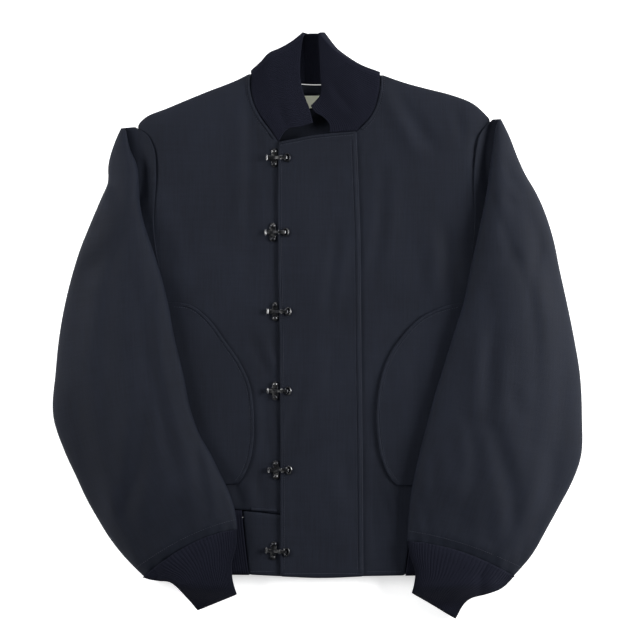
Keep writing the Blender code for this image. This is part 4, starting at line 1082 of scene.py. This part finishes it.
# Stitching
def stitches(name, routes, finish, pitch=3.2, length=2.3, radius=0.30):
    """Short thread stitches along routes of points on the cloth."""
    points, faces = [], []
    for route in routes:
        route = np.array(route, float)
        steps = np.linalg.norm(np.diff(route, axis=0), axis=1)
        start = np.concatenate([[0], np.cumsum(steps)])
        for at in np.arange(pitch / 2, start[-1] - pitch / 2, pitch):
            here = np.array([np.interp(at, start, route[:, k]) for k in range(3)])
            there = np.array([np.interp(at + 0.5, start, route[:, k]) for k in range(3)])
            onward = (there - here) / max(np.linalg.norm(there - here), 1e-9)
            beside = np.cross(onward, (0, 0, 1))
            beside /= max(np.linalg.norm(beside), 1e-9)
            up = np.cross(beside, onward)
            base = len(points)
            points += [here - onward * length / 2, here + onward * length / 2, here + beside * radius,
                       here + up * radius, here - beside * radius, here - up * radius]
            for a, b in ((2, 3), (3, 4), (4, 5), (5, 2)):
                faces += [(base, base + b, base + a), (base + 1, base + a, base + b)]
    return sew(name, points, faces, finish, rounding=0)


def beside_route(route, offset, count=120):
    """A plan route moved sideways by an offset, to its left when positive."""
    line = spaced(route, count)
    way = np.gradient(line, axis=0)
    way /= np.linalg.norm(way, axis=1, keepdims=True)
    return line + offset * np.stack([-way[:, 1], way[:, 0]], axis=1)


def on_torso(line, above):
    """A plan route laid on the fronts, this far above their faces."""
    return np.column_stack([line, torso_top(line[:, 0], line[:, 1]) + above])


def welt(name, route, offset, width, height, above, finish, keep=(0, None)):
    """A soft ridge of turned cloth beside a seam, lying on the fronts."""
    middle = beside_route(route, offset, 140)[keep[0]:keep[1]]
    way = np.gradient(middle, axis=0)
    way /= np.linalg.norm(way, axis=1, keepdims=True)
    normal = np.stack([-way[:, 1], way[:, 0]], axis=1)
    share = np.linspace(-1, 1, 9)
    plan = middle[:, None] + normal[:, None] * share[None, :, None] * width / 2
    base = torso_top(plan[..., 0], plan[..., 1]) + above
    ends = np.minimum(1, np.minimum(np.arange(len(middle)), np.arange(len(middle))[::-1]) / 3)[:, None]
    uneven = 1 + 0.15 * np.sin(np.arange(len(middle)) * 0.9)[:, None]
    rise = height * np.sqrt(np.maximum(1 - share ** 2, 0))[None, :] * ends * uneven + 0.08
    piece = shell(name, raised(plan, base + 0.04), raised(plan, base + rise), finish)
    face_outward(piece)
    return piece


def build_welts(cloth):
    """Turned edges and seam allowances that show as soft ridges beside the seams."""
    flap = LAY_GAP + PANEL - 0.5
    pocket = LAY_GAP + 0.2 + POCKET_CLOTH
    waist_seam = ((-87, -238), (-70, -239), (-52, -240))
    return {
        "neck_right": welt("neck_ridge_right", RIGHT_NECK, -2.5, 4.0, 1.3, 0.0, cloth, (6, -8)),
        "neck_left": welt("neck_ridge_left", LEFT_NECK, -2.5, 4.0, 1.3, 0.0, cloth, (8, -6)),
        "flap_edge": welt("flap_edge_ridge", FLAP_EDGE, -2.2, 3.6, 0.7, flap, cloth, (1, -2)),
        "flap_top": welt("flap_top_ridge", FLAP_TOP, -2.2, 3.6, 0.7, flap, cloth, (4, -4)),
        "flap_seam": welt("flap_seam_ridge", FLAP_SEAM, 4.6, 4.6, 0.9, flap, cloth, (1, -2)),
        "pocket_right": welt("pocket_ridge_right", POCKET_RIGHT, -2.4, 4.2, 0.9, pocket, cloth, (4, -4)),
        "pocket_left": welt("pocket_ridge_left", POCKET_LEFT, 2.4, 4.2, 0.9, pocket, cloth, (4, -4)),
        "waist": welt("waist_seam_ridge", waist_seam, 0.0, 4.0, 0.8, 0.0, cloth),
    }


def build_stitching(finish, sleeve_grids):
    """Topstitching on the flap, neck, pockets, hem and cuff seams."""
    flap = LAY_GAP + PANEL - 0.5
    trimmed = slice(2, -2)
    sewn = {}
    sewn["flap"] = stitches("flap_stitching", [
        on_torso(beside_route(FLAP_SEAM, 1.4)[trimmed], flap),
        on_torso(beside_route(FLAP_SEAM, 8.2)[trimmed], flap),
        on_torso(beside_route(FLAP_EDGE, -5.2)[trimmed], flap),
        on_torso(beside_route(FLAP_TOP, -5.2)[trimmed], flap),
    ], finish)
    sewn["neck"] = stitches("neck_stitching", [
        on_torso(beside_route(RIGHT_NECK, -5.6)[:-14], 0.0),
        on_torso(beside_route(LEFT_NECK, -5.6)[10:], 0.0),
    ], finish)
    pocket = LAY_GAP + 0.2 + POCKET_CLOTH
    sewn["pocket_right"] = stitches("pocket_stitching_right", [
        on_torso(beside_route(POCKET_RIGHT, -5.6), pocket),
    ], finish)
    sewn["pocket_left"] = stitches("pocket_stitching_left", [
        on_torso(beside_route(POCKET_LEFT, 5.6), pocket),
    ], finish)
    hem_line = np.column_stack([np.linspace(-44, 56, 60), np.full(60, -321.5)])
    side_hem = np.column_stack([np.linspace(64, 110, 30), np.full(30, -319.5)])
    band_hem = np.column_stack([np.linspace(-88, -54, 20), np.full(20, -319.0)])
    sewn["hem"] = stitches("hem_stitching", [on_torso(hem_line, flap), on_torso(side_hem, 0.0),
                                             on_torso(band_hem, 0.0)], finish)
    for side, grid in zip(("right", "left"), sleeve_grids):
        ring = grid[-3, 1:30] + np.array([0, 0, 0.05])
        sewn[f"cuff_seam_{side}"] = stitches(f"cuff_seam_stitching_{side}", [ring], finish)
    return sewn


# Setting
def build_setting():
    """Pale floor, soft lights from both sides and the camera straight above."""
    floor_mesh = bpy.data.meshes.new("floor")
    reach = 6.0
    corners = [(-reach, -reach, 0), (reach, -reach, 0), (reach, reach, 0), (-reach, reach, 0)]
    floor_mesh.from_pydata(corners, [], [(0, 1, 2, 3)])
    floor = bpy.data.objects.new("floor", floor_mesh)
    floor.location.z = -0.0004
    bpy.context.scene.collection.objects.link(floor)
    made, shader, _, _ = new_material("floor_white")
    shader.inputs["Base Color"].default_value = (0.92, 0.92, 0.92, 1)
    shader.inputs["Roughness"].default_value = 0.9
    shader.inputs["Specular IOR Level"].default_value = 0.0
    shader.inputs["Emission Color"].default_value = (1, 1, 1, 1)
    shader.inputs["Emission Strength"].default_value = 0.55
    floor_mesh.materials.append(made)

    world = bpy.data.worlds.new("studio")
    bpy.context.scene.world = world
    world.use_nodes = True
    world.node_tree.nodes["Background"].inputs["Color"].default_value = (0.96, 0.98, 1.0, 1)
    world.node_tree.nodes["Background"].inputs["Strength"].default_value = 0.20

    for name, place, size, power, colour in (
        ("light_right", (1.7, 0.25, 0.85), 1.0, 62, (1.0, 1.0, 1.0)),
        ("light_left", (-1.7, 0.35, 0.95), 1.0, 36, (1.0, 1.0, 1.0)),
        ("light_collar_end", (0.1, 1.9, 1.1), 0.9, 16, (1.0, 1.0, 1.0)),
    ):
        lamp = bpy.data.lights.new(name, "AREA")
        lamp.shape = "RECTANGLE"
        lamp.size = size
        lamp.size_y = size * 0.7
        lamp.energy = power
        lamp.color = colour
        light = bpy.data.objects.new(name, lamp)
        light.location = place
        light.rotation_euler = (Vector((0, 0, 0)) - Vector(place)).to_track_quat("-Z", "Y").to_euler()
        bpy.context.scene.collection.objects.link(light)

    lens = bpy.data.cameras.new("camera")
    lens.sensor_width = SENSOR
    lens.lens = SENSOR * VIEW_DISTANCE / VIEW_WIDTH
    camera = bpy.data.objects.new("camera", lens)
    camera.location = (VIEW_CENTRE[0] * 0.001, VIEW_CENTRE[1] * 0.001, (VIEW_DISTANCE + 20) * 0.001)
    bpy.context.scene.collection.objects.link(camera)
    bpy.context.scene.camera = camera
    bpy.context.scene.view_settings.view_transform = "Standard"


def main():
    cloth = woven_cloth("navy_cloth", (0.0036, 0.0047, 0.0085), (0.0085, 0.0108, 0.0185), 0.022)
    facing_cloth = woven_cloth("neck_cloth", (0.0036, 0.0047, 0.0085), (0.0085, 0.0108, 0.0185), 0.015)
    knit = rib_knit("navy_knit", (0.0032, 0.0036, 0.0075), (0.0072, 0.0080, 0.0150))
    metal = dark_metal("dark_metal")
    label_cloth = label_weave("cream_label")
    navy_thread = thread("navy_thread", (0.018, 0.021, 0.034))
    pieces = build_back(cloth, knit)
    pieces.update(build_fronts(cloth, knit))
    pieces["pocket_right"] = build_pocket("pocket_right", POCKET_RIGHT, cloth)
    pieces["pocket_left"] = build_pocket("pocket_left", POCKET_LEFT, cloth)
    pieces["neck_facing"], pieces["label"] = build_neck_inside(facing_cloth, label_cloth)
    pieces["sleeve_right"], pieces["armhole_right"], right_grid = build_sleeve(
        "right", SLEEVE_RIGHT, SLEEVE_CREASES_RIGHT, cloth)
    pieces["sleeve_left"], pieces["armhole_left"], left_grid = build_sleeve(
        "left", SLEEVE_LEFT, SLEEVE_CREASES_LEFT, cloth)
    pieces["cuff_right"] = build_cuff("cuff_right", CUFF_RIGHT, knit)
    pieces["cuff_left"] = build_cuff("cuff_left", CUFF_LEFT, knit)
    pieces["collar"] = build_collar(knit)
    build_clips(metal)
    welts = build_welts(cloth)
    sewn = build_stitching(navy_thread, (right_grid, left_grid))
    build_setting()


main()
